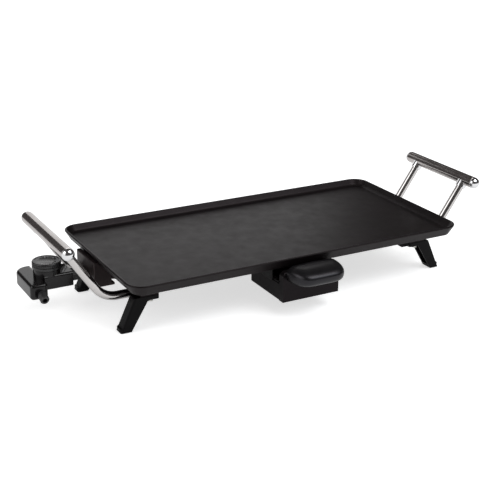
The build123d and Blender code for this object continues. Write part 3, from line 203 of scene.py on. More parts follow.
class Finishes:
    """All the finishes of the griddle."""

    COATED_PLATE = Finish(
        "coated_plate", (0.0085, 0.0066, 0.0070), (0.0062, 0.0050, 0.0052), 0.34, 0.42, specular=0.155,
        gleam=(1.0, 0.86, 0.90), mottle_mm=60.0, grain_mm=0.6, relief_mm=0.005,
    )
    STEEL_GRIP = Finish(
        "steel_grip", (0.55, 0.52, 0.51), (0.46, 0.43, 0.42), 0.14, 0.20, metallic=1.0,
        grain_mm=0.5, relief_mm=0.0007, grain=Grain.ALONG_Y, stretch=150.0,
    )
    STEEL_ROD = Finish(
        "steel_rod", (0.62, 0.60, 0.59), (0.57, 0.55, 0.54), 0.10, 0.15, metallic=1.0,
        grain_mm=2.0, relief_mm=0.0008,
    )
    CHROME = Finish(
        "chrome", (0.80, 0.80, 0.81), (0.78, 0.78, 0.79), 0.05, 0.08, metallic=1.0,
        grain_mm=0.6, relief_mm=0.0006,
    )
    LEG_PLASTIC = Finish(
        "leg_plastic", (0.0042, 0.0038, 0.0042), (0.0032, 0.0028, 0.0032), 0.30, 0.40, specular=0.1,
        mottle_mm=15.0, grain_mm=0.45, relief_mm=0.02,
    )
    TRAY_PLASTIC = Finish(
        "tray_plastic", (0.0050, 0.0042, 0.0046), (0.0038, 0.0032, 0.0035), 0.30, 0.38, specular=0.15,
        gleam=(1.0, 0.85, 0.92), mottle_mm=20.0, grain_mm=0.35, relief_mm=0.008,
    )
    PULL_PLASTIC = Finish(
        "pull_plastic", (0.0050, 0.0048, 0.0054), (0.0038, 0.0036, 0.0041), 0.30, 0.36, specular=0.38,
        gleam=(0.95, 0.92, 1.0), mottle_mm=20.0, grain_mm=0.5, relief_mm=0.003,
    )
    CASE_PLASTIC = Finish(
        "case_plastic", (0.0055, 0.0046, 0.0049), (0.0042, 0.0036, 0.0038), 0.16, 0.24, coat=0.20,
        specular=0.25, mottle_mm=12.0, grain_mm=0.5, relief_mm=0.003,
    )
    NOSE_PLASTIC = Finish(
        "nose_plastic", (0.0100, 0.0090, 0.0090), (0.0075, 0.0070, 0.0070), 0.45, 0.55, specular=0.6,
        mottle_mm=6.0, grain_mm=0.4, relief_mm=0.01,
    )
    DIAL_PLASTIC = Finish(
        "dial_plastic", (0.0085, 0.0082, 0.0088), (0.0065, 0.0062, 0.0066), 0.24, 0.32, specular=0.6,
        mottle_mm=8.0, grain_mm=0.3, relief_mm=0.004,
    )
    SHROUD = Finish(
        "shroud_coat", (0.0220, 0.0160, 0.0160), (0.0160, 0.0120, 0.0120), 0.38, 0.48, specular=0.322,
        gleam=(1.0, 0.86, 0.86), mottle_mm=14.0, grain_mm=0.5, relief_mm=0.012,
    )
    RAIL_STEEL = Finish(
        "rail_steel", (0.0050, 0.0046, 0.0048), (0.0038, 0.0035, 0.0037), 0.35, 0.45, specular=0.2,
        mottle_mm=14.0, grain_mm=0.4, relief_mm=0.006,
    )
    SCREW_STEEL = Finish(
        "screw_steel", (0.50, 0.49, 0.46), (0.42, 0.41, 0.39), 0.25, 0.36, metallic=1.0,
        mottle_mm=3.0, grain_mm=0.3, relief_mm=0.004,
    )
    ELEMENT = Finish(
        "element_sheath", (0.20, 0.19, 0.18), (0.13, 0.12, 0.12), 0.38, 0.5, metallic=1.0,
        mottle_mm=10.0, grain_mm=0.3, relief_mm=0.006,
    )
    PLATED = Finish(
        "plated_brass", (0.72, 0.66, 0.52), (0.66, 0.60, 0.47), 0.18, 0.26, metallic=1.0,
        mottle_mm=4.0, grain_mm=0.3, relief_mm=0.002,
    )
    CERAMIC = Finish(
        "ceramic", (0.80, 0.78, 0.72), (0.74, 0.72, 0.66), 0.6, 0.75,
        mottle_mm=3.0, grain_mm=0.3, relief_mm=0.01,
    )
    INK = Finish(
        "scale_ink", (0.42, 0.42, 0.43), (0.34, 0.34, 0.35), 0.45, 0.55,
        mottle_mm=2.0, grain_mm=0.2, relief_mm=0.002,
    )
    RUBBER = Finish(
        "pad_rubber", (0.0160, 0.0150, 0.0165), (0.0120, 0.0112, 0.0124), 0.40, 0.52, specular=0.8,
        mottle_mm=5.0, grain_mm=0.4, relief_mm=0.02,
    )


def dress(obj: bpy.types.Object, finish: Finish) -> None:
    """Give an object one finish.

    Args:
        obj: The mesh object.
        finish: Its finish.
    """
    obj.data.materials.clear()
    obj.data.materials.append(finish.material())


@dataclass(frozen=True)
class NodeBox:
    """The box of a CAD node at rest."""

    node: str

    @property
    def low(self) -> Vector:
        """The lowest corner."""
        return Vector(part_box(self.node)[0])

    @property
    def high(self) -> Vector:
        """The highest corner."""
        return Vector(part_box(self.node)[1])

    @property
    def middle(self) -> Vector:
        """The middle of the box."""
        return (self.low + self.high) / 2


def new_piece(name: str, body: str, finish: Finish, mesh: bpy.types.Mesh,
              sharp_deg: float = 35.0) -> bpy.types.Object:
    """Make a finished piece of a mesh that is already in place.

    Args:
        name: The piece's name.
        body: The CAD body that it moves with.
        finish: Its finish.
        mesh: Its mesh, in the row frame.
        sharp_deg: The angle past which an edge stays sharp.

    Returns:
        The piece.
    """
    mesh.name = name
    for face in mesh.polygons:
        face.use_smooth = True
    mesh.set_sharp_from_angle(angle=math.radians(sharp_deg))
    piece = bpy.data.objects.new(name, mesh)
    bpy.context.scene.collection.objects.link(piece)
    dress(piece, finish)
    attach(piece, body)
    LOG.info("piece %s made, %d faces", name, len(mesh.polygons))
    return piece


def lathe(profile: list[tuple[float, float]], place: Vector, axis: str, steps: int) -> bpy.types.Mesh:
    """Turn a profile round an axis into a closed mesh.

    Args:
        profile: Radius and height of each ring, from one pole to the other, poles left out.
        place: The point on the axis that the heights are measured from.
        axis: "Y" or "Z".
        steps: How many sides the turned shape has.

    Returns:
        The mesh.
    """
    form = bmesh.new()
    turn = Matrix.Identity(3) if axis == "Z" else Matrix.Rotation(math.radians(-90.0), 3, "X")
    rings = []
    for radius, height in profile:
        ring = []
        for step in range(steps):
            angle = math.tau * step / steps
            point = Vector((radius * math.cos(angle), radius * math.sin(angle), height))
            ring.append(form.verts.new(place + turn @ point))
        rings.append(ring)
    for lower, upper in zip(rings, rings[1:]):
        for step in range(steps):
            after = (step + 1) % steps
            form.faces.new((lower[step], lower[after], upper[after], upper[step]))
    for ring, height in ((rings[0], profile[0][1]), (rings[-1], profile[-1][1])):
        pole = form.verts.new(place + turn @ Vector((0.0, 0.0, height)))
        for step in range(steps):
            form.faces.new((ring[step], ring[(step + 1) % steps], pole))
    bmesh.ops.recalc_face_normals(form, faces=form.faces)
    mesh = bpy.data.meshes.new("turned")
    form.to_mesh(mesh)
    form.free()
    return mesh


def arc(radius: float, height: float, size: float, start_deg: float, end_deg: float,
        steps: int = 8) -> list[tuple[float, float]]:
    """List the points of a rounded edge of a turned profile.

    Args:
        radius: The distance of the arc's middle from the axis.
        height: The height of the arc's middle.
        size: The arc's own radius.
        start_deg: Where it starts.
        end_deg: Where it ends.
        steps: How many steps it has.

    Returns:
        Radius and height of each point.
    """
    points = []
    for step in range(steps + 1):
        angle = math.radians(start_deg + (end_deg - start_deg) * step / steps)
        points.append((radius + size * math.cos(angle), height + size * math.sin(angle)))
    return points


class Repeat:
    """A Geometry Nodes tree that builds a repeated form, and what makes a plain mesh of it."""

    def __init__(self, name: str, finish: Finish) -> None:
        """Start the tree.

        Args:
            name: The tree's name.
            finish: The finish of every copy.
        """
        self.name = name
        self.finish = finish
        self.values: dict[str, object] = {}
        self.tree = bpy.data.node_groups.new(name, "GeometryNodeTree")
        self.tree.interface.new_socket("Geometry", in_out="OUTPUT", socket_type="NodeSocketGeometry")
        self.inside = self.tree.nodes.new("NodeGroupInput")
        self.outside = self.tree.nodes.new("NodeGroupOutput")

    def size(self, name: str, kind: str, value: object) -> str:
        """Add a named input and note the value that it is given.

        Args:
            name: The input's name.
            kind: Its socket type.
            value: Its value.

        Returns:
            The input's name.
        """
        socket = self.tree.interface.new_socket(name, in_out="INPUT", socket_type=kind)
        self.values[socket.identifier] = value
        return name

    def node(self, kind: str, **settings: object) -> bpy.types.Node:
        """Add a node and set its options.

        Args:
            kind: The node's type.
            settings: Its options by name.

        Returns:
            The node.
        """
        made = self.tree.nodes.new(kind)
        for option, value in settings.items():
            setattr(made, option, value)
        return made

    def join(self, source: bpy.types.NodeSocket, target: bpy.types.NodeSocket) -> None:
        """Link two sockets."""
        self.tree.links.new(source, target)

    def maths(self, operation: str, first: object, second: object) -> bpy.types.NodeSocket:
        """Add a sum, product or other operation of two values.

        Args:
            operation: The operation's name.
            first: A socket or a number.
            second: A socket or a number.

        Returns:
            The result's socket.
        """
        made = self.node("ShaderNodeMath", operation=operation)
        for slot, value in zip(made.inputs, (first, second)):
            if isinstance(value, bpy.types.NodeSocket):
                self.join(value, slot)
            elif value is not None:
                slot.default_value = value
        return made.outputs[0]

    def close(self, shape: bpy.types.NodeSocket) -> None:
        """Realize the copies, give them their material and end the tree."""
        whole = self.node("GeometryNodeRealizeInstances")
        paint = self.node("GeometryNodeSetMaterial")
        paint.inputs["Material"].default_value = self.finish.material()
        self.join(shape, whole.inputs["Geometry"])
        self.join(whole.outputs["Geometry"], paint.inputs["Geometry"])
        self.join(paint.outputs["Geometry"], self.outside.inputs["Geometry"])

    def mesh(self) -> bpy.types.Mesh:
        """Run the tree.

        Returns:
            The result as a plain mesh.
        """
        carrier = bpy.data.objects.new(self.name + "_carrier", bpy.data.meshes.new(self.name))
        bpy.context.scene.collection.objects.link(carrier)
        modifier = carrier.modifiers.new("repeat", "NODES")
        modifier.node_group = self.tree
        for identifier, value in self.values.items():
            modifier[identifier] = value
        graph = bpy.context.evaluated_depsgraph_get()
        made = bpy.data.meshes.new_from_object(carrier.evaluated_get(graph))
        carrier.modifiers.remove(modifier)
        bpy.data.objects.remove(carrier)
        return made


class RoundRing(Repeat):
    """Bars set on a ring, each turned to face outwards."""

    def __init__(self, name: str, finish: Finish, centre: Vector, count: int, radius: float,
                 start_deg: float, span_deg: float, bar: tuple[float, float, float]) -> None:
        """Build the tree.

        Args:
            name: The tree's name.
            finish: The finish of the bars.
            centre: The middle of the ring.
            count: How many bars there are.
            radius: The distance of their middles from the centre.
            start_deg: Where the first one stands.
            span_deg: The angle from the first to the last.
            bar: The size of a bar outwards, round the ring and upwards.
        """
        super().__init__(name, finish)
        names = [
            self.size("Count", "NodeSocketInt", count),
            self.size("Radius", "NodeSocketFloat", radius),
            self.size("Start", "NodeSocketFloat", math.radians(start_deg)),
            self.size("Step", "NodeSocketFloat", math.radians(span_deg) / max(count - 1, 1)),
            self.size("Bar", "NodeSocketVector", bar),
            self.size("Centre", "NodeSocketVector", tuple(centre)),
        ]
        count_in, radius_in, start_in, step_in, bar_in, centre_in = (
            self.inside.outputs[name] for name in names
        )
        index = self.node("GeometryNodeInputIndex").outputs["Index"]
        angle = self.maths("ADD", start_in, self.maths("MULTIPLY", index, step_in))
        place = self.node("ShaderNodeCombineXYZ")
        self.join(self.maths("MULTIPLY", radius_in, self.maths("COSINE", angle, None)), place.inputs["X"])
        self.join(self.maths("MULTIPLY", radius_in, self.maths("SINE", angle, None)), place.inputs["Y"])
        points = self.node("GeometryNodePoints")
        self.join(count_in, points.inputs["Count"])
        self.join(place.outputs["Vector"], points.inputs["Position"])
        turn = self.node("ShaderNodeCombineXYZ")
        self.join(angle, turn.inputs["Z"])
        form = self.node("GeometryNodeMeshCube")
        self.join(bar_in, form.inputs["Size"])
        copies = self.node("GeometryNodeInstanceOnPoints")
        self.join(points.outputs["Points"], copies.inputs["Points"])
        self.join(form.outputs["Mesh"], copies.inputs["Instance"])
        self.join(turn.outputs["Vector"], copies.inputs["Rotation"])
        shift = self.node("GeometryNodeTransform")
        self.join(copies.outputs["Instances"], shift.inputs["Geometry"])
        self.join(centre_in, shift.inputs["Translation"])
        self.close(shift.outputs["Geometry"])


class RingRow(Repeat):
    """Round rings set in a row along a line."""

    AROUND = 48
    SECTION = 12

    def __init__(self, name: str, finish: Finish, start: Vector, end: Vector, count: int,
                 radius: float, thickness: float) -> None:
        """Build the tree.

        Args:
            name: The tree's name.
            finish: The finish of the rings.
            start: Where the row starts.
            end: Where it ends.
            count: How many rings there are.
            radius: The radius of a ring, to the middle of its thickness.
            thickness: The radius of the ring's own section.
        """
        super().__init__(name, finish)
        names = [
            self.size("Start", "NodeSocketVector", tuple(start)),
            self.size("End", "NodeSocketVector", tuple(end)),
            self.size("Count", "NodeSocketInt", count),
            self.size("Radius", "NodeSocketFloat", radius),
            self.size("Thickness", "NodeSocketFloat", thickness),
        ]
        start_in, end_in, count_in, radius_in, thickness_in = (
            self.inside.outputs[name] for name in names
        )
        line = self.node("GeometryNodeCurvePrimitiveLine")
        self.join(start_in, line.inputs["Start"])
        self.join(end_in, line.inputs["End"])
        spots = self.node("GeometryNodeCurveToPoints")
        self.join(line.outputs["Curve"], spots.inputs["Curve"])
        self.join(count_in, spots.inputs["Count"])
        hoop = self.node("GeometryNodeCurvePrimitiveCircle")
        hoop.inputs["Resolution"].default_value = self.AROUND
        self.join(radius_in, hoop.inputs["Radius"])
        section = self.node("GeometryNodeCurvePrimitiveCircle")
        section.inputs["Resolution"].default_value = self.SECTION
        self.join(thickness_in, section.inputs["Radius"])
        ring = self.node("GeometryNodeCurveToMesh")
        self.join(hoop.outputs["Curve"], ring.inputs["Curve"])
        self.join(section.outputs["Curve"], ring.inputs["Profile Curve"])
        copies = self.node("GeometryNodeInstanceOnPoints")
        self.join(spots.outputs["Points"], copies.inputs["Points"])
        self.join(ring.outputs["Mesh"], copies.inputs["Instance"])
        self.join(spots.outputs["Rotation"], copies.inputs["Rotation"])
        self.close(copies.outputs["Instances"])


class SmoothSkin:
    """The live modifiers that shade a CAD solid smoothly, with its edges kept crisp."""

    def __init__(self, crisp_deg: float = 28.0) -> None:
        """Build the tree that marks the crisp edges.

        Args:
            crisp_deg: The angle past which an edge stays crisp.
        """
        tree = bpy.data.node_groups.new("smooth_skin", "GeometryNodeTree")
        tree.interface.new_socket("Geometry", in_out="OUTPUT", socket_type="NodeSocketGeometry")
        tree.interface.new_socket("Geometry", in_out="INPUT", socket_type="NodeSocketGeometry")
        inside = tree.nodes.new("NodeGroupInput")
        outside = tree.nodes.new("NodeGroupOutput")
        faces = tree.nodes.new("GeometryNodeSetShadeSmooth")
        faces.domain = "FACE"
        edges = tree.nodes.new("GeometryNodeSetShadeSmooth")
        edges.domain = "EDGE"
        edges.inputs["Shade Smooth"].default_value = False
        angle = tree.nodes.new("GeometryNodeInputMeshEdgeAngle")
        crisp = tree.nodes.new("FunctionNodeCompare")
        crisp.operation = "GREATER_THAN"
        crisp.inputs["B"].default_value = math.radians(crisp_deg)
        tree.links.new(inside.outputs["Geometry"], faces.inputs["Geometry"])
        tree.links.new(faces.outputs["Geometry"], edges.inputs["Geometry"])
        tree.links.new(angle.outputs["Unsigned Angle"], crisp.inputs["A"])
        tree.links.new(crisp.outputs["Result"], edges.inputs["Selection"])
        tree.links.new(edges.outputs["Geometry"], outside.inputs["Geometry"])
        self.tree = tree

    def put_on(self, obj: bpy.types.Object) -> None:
        """Give a CAD node its smooth skin.

        Args:
            obj: The node's object.
        """
        weld = obj.modifiers.new("weld", "WELD")
        weld.merge_threshold = WELD_DISTANCE
        skin = obj.modifiers.new("skin", "NODES")
        skin.node_group = self.tree
        weights = obj.modifiers.new("weights", "WEIGHTED_NORMAL")
        weights.keep_sharp = True
        weights.weight = 100


@dataclass
class Handle:
    """One grip: a brushed tube with a domed cap on each end."""

    side: str
    dome: float = 7.2 * MM
    dome_steps: int = 16
    dome_end_deg: float = 88.0
    lip: float = 0.12 * MM
    gap: float = 0.25 * MM
    edge_round: float = 0.3 * MM
    spigot: float = 2.0 * MM
    spigot_step: float = 1.0 * MM
    sides: int = 128

    def build(self) -> None:
        """Build the tube and its two caps."""
        tube = NodeBox("grip_tube_" + self.side)
        caps = NodeBox("grip_caps_" + self.side)
        middle = tube.middle
        radius = (tube.high.z - tube.low.z) / 2
        half = (caps.high.y - caps.low.y) / 2
        self._tube(middle, radius, half)
        self._caps(middle, radius, half)

    def _tube(self, middle: Vector, radius: float, half: float) -> None:
        """Build the tube.

        Args:
            middle: Its middle.
            radius: Its radius.
            half: Half of the length over both caps.
        """
        end = half - self.dome - self.gap
        ease = self.edge_round
        profile = [(radius - ease, -end), (radius, -end + ease), (radius, end - ease), (radius - ease, end)]
        mesh = lathe(profile, middle, "Y", self.sides)
        piece = new_piece("tube_" + self.side, "griddle", Finishes.STEEL_GRIP, mesh)
        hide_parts("grip_tube_" + self.side)

    def _caps(self, middle: Vector, radius: float, half: float) -> None:
        """Build the two domed caps as one piece.

        Args:
            middle: The middle of the tube.
            radius: The tube's radius.
            half: Half of the length over both caps.
        """
        whole = bmesh.new()
        for way in (-1.0, 1.0):
            profile = [(radius - self.spigot_step, way * (half - self.dome - self.spigot))]
            for step in range(self.dome_steps + 1):
                angle = math.radians(self.dome_end_deg * step / self.dome_steps)
                reach = half - self.dome + self.dome * math.sin(angle)
                profile.append(((radius - self.lip) * math.cos(angle), way * reach))
            mesh = lathe(profile, middle, "Y", self.sides)
            whole.from_mesh(mesh)
            bpy.data.meshes.remove(mesh)
        mesh = bpy.data.meshes.new("domes")
        whole.to_mesh(mesh)
        whole.free()
        piece = new_piece("domes_" + self.side, "griddle", Finishes.CHROME, mesh, 50.0)
        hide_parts("grip_caps_" + self.side)


@dataclass
class Dial:
    """The temperature dial: a fluted knob with a groove round its side, and a scale and numbers on its
    dished top.
    """

    flutes: int = 44
    flute_depth: float = 0.55 * MM
    edge_round: float = 1.5 * MM
    groove_height: float = 3.6 * MM
    groove_width: float = 0.8 * MM
    groove_depth: float = 0.8 * MM
    bore_radius: float = 3.1 * MM
    foot_chamfer: float = 0.5 * MM
    flare: float = 0.8 * MM
    rim: float = 2.6 * MM
    rim_foot: float = 3.3 * MM
    dish: float = 0.5 * MM
    disc_inset: float = 9.0 * MM
    disc_foot: float = 9.5 * MM
    disc_depth: float = 0.25 * MM
    disc_core: float = 0.4 * MM
    flute_share: float = 0.55
    flute_gap: float = 0.6 * MM
    scale_start_deg: float = -135.0
    scale_span_deg: float = 270.0
    print_lift: float = 0.03 * MM
    ticks: int = 31
    tick: tuple[float, float, float] = (1.1 * MM, 0.28 * MM, 0.10 * MM)
    tick_inset: float = 4.3 * MM
    numbers: tuple[str, ...] = ("0", "1", "2", "3", "4", "5")
    number_size: float = 3.4 * MM
    number_inset: float = 6.8 * MM
    number_depth: float = 0.05 * MM
    sides: int = 144

    def build(self) -> None:
        """Build the knob, its flutes, its scale and its numbers."""
        box = NodeBox("temperature_dial")
        self._knob(box)
        self._flutes(box)
        self._scale(box)
        self._numbers(box)

    def _top(self, box: NodeBox) -> Vector:
        """Give the middle of the dished top."""
        return Vector((box.middle.x, box.middle.y, box.high.z - self.dish))

    def _knob(self, box: NodeBox) -> None:
        """Build the knob's turned body.

        Args:
            box: The dial's box.
        """
        radius = (box.high.x - box.low.x) / 2
        core = radius - self.flute_depth
        tall = box.high.z - box.low.z
        groove = self.groove_height
        foot = self.foot_chamfer
        profile = [(self.bore_radius, 0.0), (radius - foot, 0.0), (radius, foot), (radius, groove)]
        bed, lip = core - self.groove_depth, groove + self.groove_width
        profile += [(bed, groove), (bed, lip)]
        profile += [(core, lip), (core, tall - self.edge_round - self.flare)]
        profile += arc(radius - self.edge_round, tall - self.edge_round, self.edge_round, 0.0, 90.0)
        dish, disc = tall - self.dish, tall - self.dish - self.disc_depth
        profile += [(radius - self.rim, tall), (radius - self.rim_foot, dish)]
        profile += [(radius - self.disc_inset, dish), (radius - self.disc_foot, disc)]
        profile += [(self.disc_core, disc)]
        base = Vector((box.middle.x, box.middle.y, box.low.z))
        mesh = lathe(profile, base, "Z", self.sides)
        piece = new_piece("dial_knob", "dial", Finishes.DIAL_PLASTIC, mesh)
        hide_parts("temperature_dial")

    def _flutes(self, box: NodeBox) -> None:
        """Set the ribs round the side of the knob.

        Args:
            box: The dial's box.
        """
        radius = (box.high.x - box.low.x) / 2
        low = box.low.z + self.groove_height + self.groove_width
        high = box.high.z - self.edge_round - self.flute_gap
        centre = Vector((box.middle.x, box.middle.y, (low + high) / 2))
        pitch = math.tau * radius / self.flutes
        bar = (2.0 * self.flute_depth, pitch * self.flute_share, high - low)
        ring = RoundRing(
            "dial_rib", Finishes.DIAL_PLASTIC, centre, self.flutes, radius - self.flute_depth,
            0.0, 360.0 * (self.flutes - 1) / self.flutes, bar,
        )
        piece = new_piece("dial_ribs", "dial", Finishes.DIAL_PLASTIC, ring.mesh())

    def _scale(self, box: NodeBox) -> None:
        """Set the tick marks on the top of the knob.

        Args:
            box: The dial's box.
        """
        radius = (box.high.x - box.low.x) / 2
        centre = self._top(box) + Vector((0.0, 0.0, self.print_lift))
        ring = RoundRing(
            "dial_tick", Finishes.INK, centre, self.ticks, radius - self.tick_inset,
            self.scale_start_deg, self.scale_span_deg, self.tick,
        )
        new_piece("dial_scale", "dial", Finishes.INK, ring.mesh())

    def _numbers(self, box: NodeBox) -> None:
        """Set the numbers inside the scale.

        Args:
            box: The dial's box.
        """
        top = self._top(box)
        radius = (box.high.x - box.low.x) / 2 - self.number_inset
        whole = bmesh.new()
        for place, text in enumerate(self.numbers):
            along = place / (len(self.numbers) - 1)
            angle = math.radians(self.scale_start_deg + self.scale_span_deg * along)
            curve = bpy.data.curves.new("number", "FONT")
            curve.body = text
            curve.size = self.number_size
            curve.extrude = self.number_depth
            curve.align_x = "CENTER"
            curve.align_y = "CENTER"
            carrier = bpy.data.objects.new("number", curve)
            bpy.context.scene.collection.objects.link(carrier)
            graph = bpy.context.evaluated_depsgraph_get()
            mesh = bpy.data.meshes.new_from_object(carrier.evaluated_get(graph))
            bpy.data.objects.remove(carrier)
            spot = top + Vector((radius * math.cos(angle), radius * math.sin(angle), self.print_lift))
            turn = Matrix.Rotation(angle - math.radians(90.0), 4, "Z")
            mesh.transform(Matrix.Translation(spot) @ turn)
            whole.from_mesh(mesh)
            bpy.data.meshes.remove(mesh)
        mesh = bpy.data.meshes.new("numbers")
        whole.to_mesh(mesh)
        whole.free()
        new_piece("dial_numbers", "dial", Finishes.INK, mesh)


@dataclass
class Pull:
    """The tray's pull, a plump cushion with full rounded edges and a flat back."""

    corner_power: float = 5.0
    upper_edge: float = 25.0 * MM
    lower_edge: float = 10.0 * MM
    side_share: float = 0.52
    section_power: float = 2.2
    crown: float = 0.5 * MM
    side_swell: float = 2.0 * MM
    under_swell: float = 2.0 * MM
    around: int = 96
    upward: int = 28
    cap_rings: tuple[float, ...] = (0.12, 0.3, 0.5, 0.7, 0.86)

    def build(self) -> None:
        """Build the pull over its solid."""
        mesh = self._cushion(NodeBox("tray_pull"))
        piece = new_piece("pull_cushion", "tray", Finishes.PULL_PLASTIC, mesh, 60.0)
        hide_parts("tray_pull")

    def _levels(self, half_height: float) -> list[tuple[float, float, float]]:
        """List the rings from the bottom to the top.

        Args:
            half_height: Half of the pull's height.

        Returns:
            The share of the inner outline, the step outwards and the height of each ring.
        """
        shoulder = half_height - self.crown
        inner = self.upper_edge - self.lower_edge
        rises = [(share, shoulder + self.crown * (1.0 - share ** 2)) for share in self.cap_rings]
        edge = []
        for step in range(self.upward + 1):
            angle = math.pi * (step / self.upward - 0.5)
            bulge = math.cos(angle) ** (2 / self.section_power)
            rise = math.copysign(abs(math.sin(angle)) ** (2 / self.section_power), angle)
            out = self.upper_edge * bulge if angle > 0.0 else inner + self.lower_edge * bulge
            edge.append((1.0, out, shoulder * rise))
        under = [(share, inner, -rise) for share, rise in rises]
        over = [(share, 0.0, rise) for share, rise in reversed(rises)]
        return under + edge + over

    def _cushion(self, box: NodeBox) -> bpy.types.Mesh:
        """Build the cushion's rings, ends and flat back.

        Args:
            box: The pull's box.

        Returns:
            The mesh.
        """
        low = box.low - Vector((self.side_swell, 0.0, self.under_swell))
        high = box.high + Vector((self.side_swell, 0.0, 0.0))
        half = (high - low) / 2
        back = Vector((box.middle.x, high.y, (low.z + high.z) / 2))
        wide = half.x - self.upper_edge * self.side_share
        deep = 2.0 * half.y - self.upper_edge
        form = bmesh.new()
        rows = []
        for share, out, rise in self._levels(half.z):
            row = []
            for step in range(self.around + 1):
                turn = math.pi * step / self.around
                across = math.copysign(abs(math.cos(turn)) ** (2 / self.corner_power), math.cos(turn))
                ahead = abs(math.sin(turn)) ** (2 / self.corner_power)
                power = self.corner_power - 1.0
                face = Vector((
                    math.copysign(abs(across) ** power, across) / wide, -(ahead ** power) / deep, 0.0
                )).normalized()
                bulge = Vector((face.x * out * self.side_share, face.y * out, 0.0))
                flat = Vector((across * wide, -ahead * deep, 0.0)) + bulge
                row.append(form.verts.new(back + flat * share + Vector((0.0, 0.0, rise))))
            rows.append(row)
        for lower, upper in zip(rows, rows[1:]):
            for step in range(self.around):
                form.faces.new((lower[step + 1], lower[step], upper[step], upper[step + 1]))
        for row in (rows[0], rows[-1]):
            form.faces.new(row)
        form.faces.new([row[0] for row in rows] + [row[-1] for row in reversed(rows)])
        bmesh.ops.recalc_face_normals(form, faces=form.faces)
        mesh = bpy.data.meshes.new("cushion")
        form.to_mesh(mesh)
        form.free()
        return mesh


@dataclass
class Gland:
    """The moulded rings round the cord gland."""

    rings: int = 5
    radius: float = 5.35 * MM
    thickness: float = 0.45 * MM
    first_inset: float = 9.0 * MM
    last_inset: float = 1.6 * MM

    def build(self) -> None:
        """Set the rings along the gland, from the case to near its end."""
        mount = next(m for m in frame["record"]["mounts"] if m["name"] == "cord_entry")
        middle = Vector(mount["pos_m"])
        axis = Vector(mount["axis"]).normalized()
        half = mount["dims"]["length_mm"] * MM / 2
        first = middle + axis * (half - self.first_inset)
        last = middle + axis * (half - self.last_inset)
        row = RingRow("gland_ring", Finishes.RUBBER, first, last, self.rings, self.radius, self.thickness)
        piece = new_piece("gland_rings", "thermostat", Finishes.RUBBER, row.mesh())


class CadDress:
    """The CAD solids that show as they are, each with its finish."""

    PLAIN: dict[str, Finish] = {
        "griddle_plate": Finishes.COATED_PLATE,
        "heating_element": Finishes.ELEMENT,
        "terminal_pins": Finishes.PLATED,
        "terminal_bushings": Finishes.CERAMIC,
        "socket_shroud": Finishes.SHROUD,
        "foot_pads": Finishes.RUBBER,
        "drip_tray": Finishes.TRAY_PLASTIC,
        "tray_pull": Finishes.PULL_PLASTIC,
        "thermostat_lower_case": Finishes.CASE_PLASTIC,
        "thermostat_upper_case": Finishes.CASE_PLASTIC,
        "plug_nose": Finishes.NOSE_PLASTIC,
        "contact_sockets": Finishes.PLATED,
        "temperature_probe": Finishes.ELEMENT,
        "switch_base": Finishes.NOSE_PLASTIC,
        "bimetal_blade": Finishes.SCREW_STEEL,
        "temperature_dial": Finishes.DIAL_PLASTIC,
        "dial_spindle": Finishes.PLATED,
        "cord_gland": Finishes.RUBBER,
    }
    FAMILIES: dict[str, Finish] = {
        "leg_screws": Finishes.SCREW_STEEL,
        "leg_": Finishes.LEG_PLASTIC,
        "handle_rod_": Finishes.STEEL_ROD,
        "grip_tube_": Finishes.STEEL_GRIP,
        "grip_caps_": Finishes.CHROME,
        "rod_collars_": Finishes.CHROME,
        "tray_rail_": Finishes.RAIL_STEEL,
    }

    def finish_of(self, node: str) -> Finish:
        """Find the finish of a CAD node.

        Args:
            node: The node's name.

        Returns:
            Its finish.
        """
        if node in self.PLAIN:
            return self.PLAIN[node]
        for start, finish in self.FAMILIES.items():
            if node.startswith(start):
                return finish
        return Finishes.SCREW_STEEL

    def build(self) -> None:
        """Dress every CAD node."""
        skin = SmoothSkin()
        for node, obj in frame["nodes"].items():
            dress(obj, self.finish_of(node))
            skin.put_on(obj)
            LOG.info("CAD node %s dressed", node)


@dataclass(frozen=True)
class Softbox:
    """One soft lamp: its place, its width and height, its power in watts and its colour."""

    name: str
    place: tuple[float, float, float]
    size: tuple[float, float]
    power: float
    tint: tuple[float, float, float] = (1.0, 1.0, 1.0)


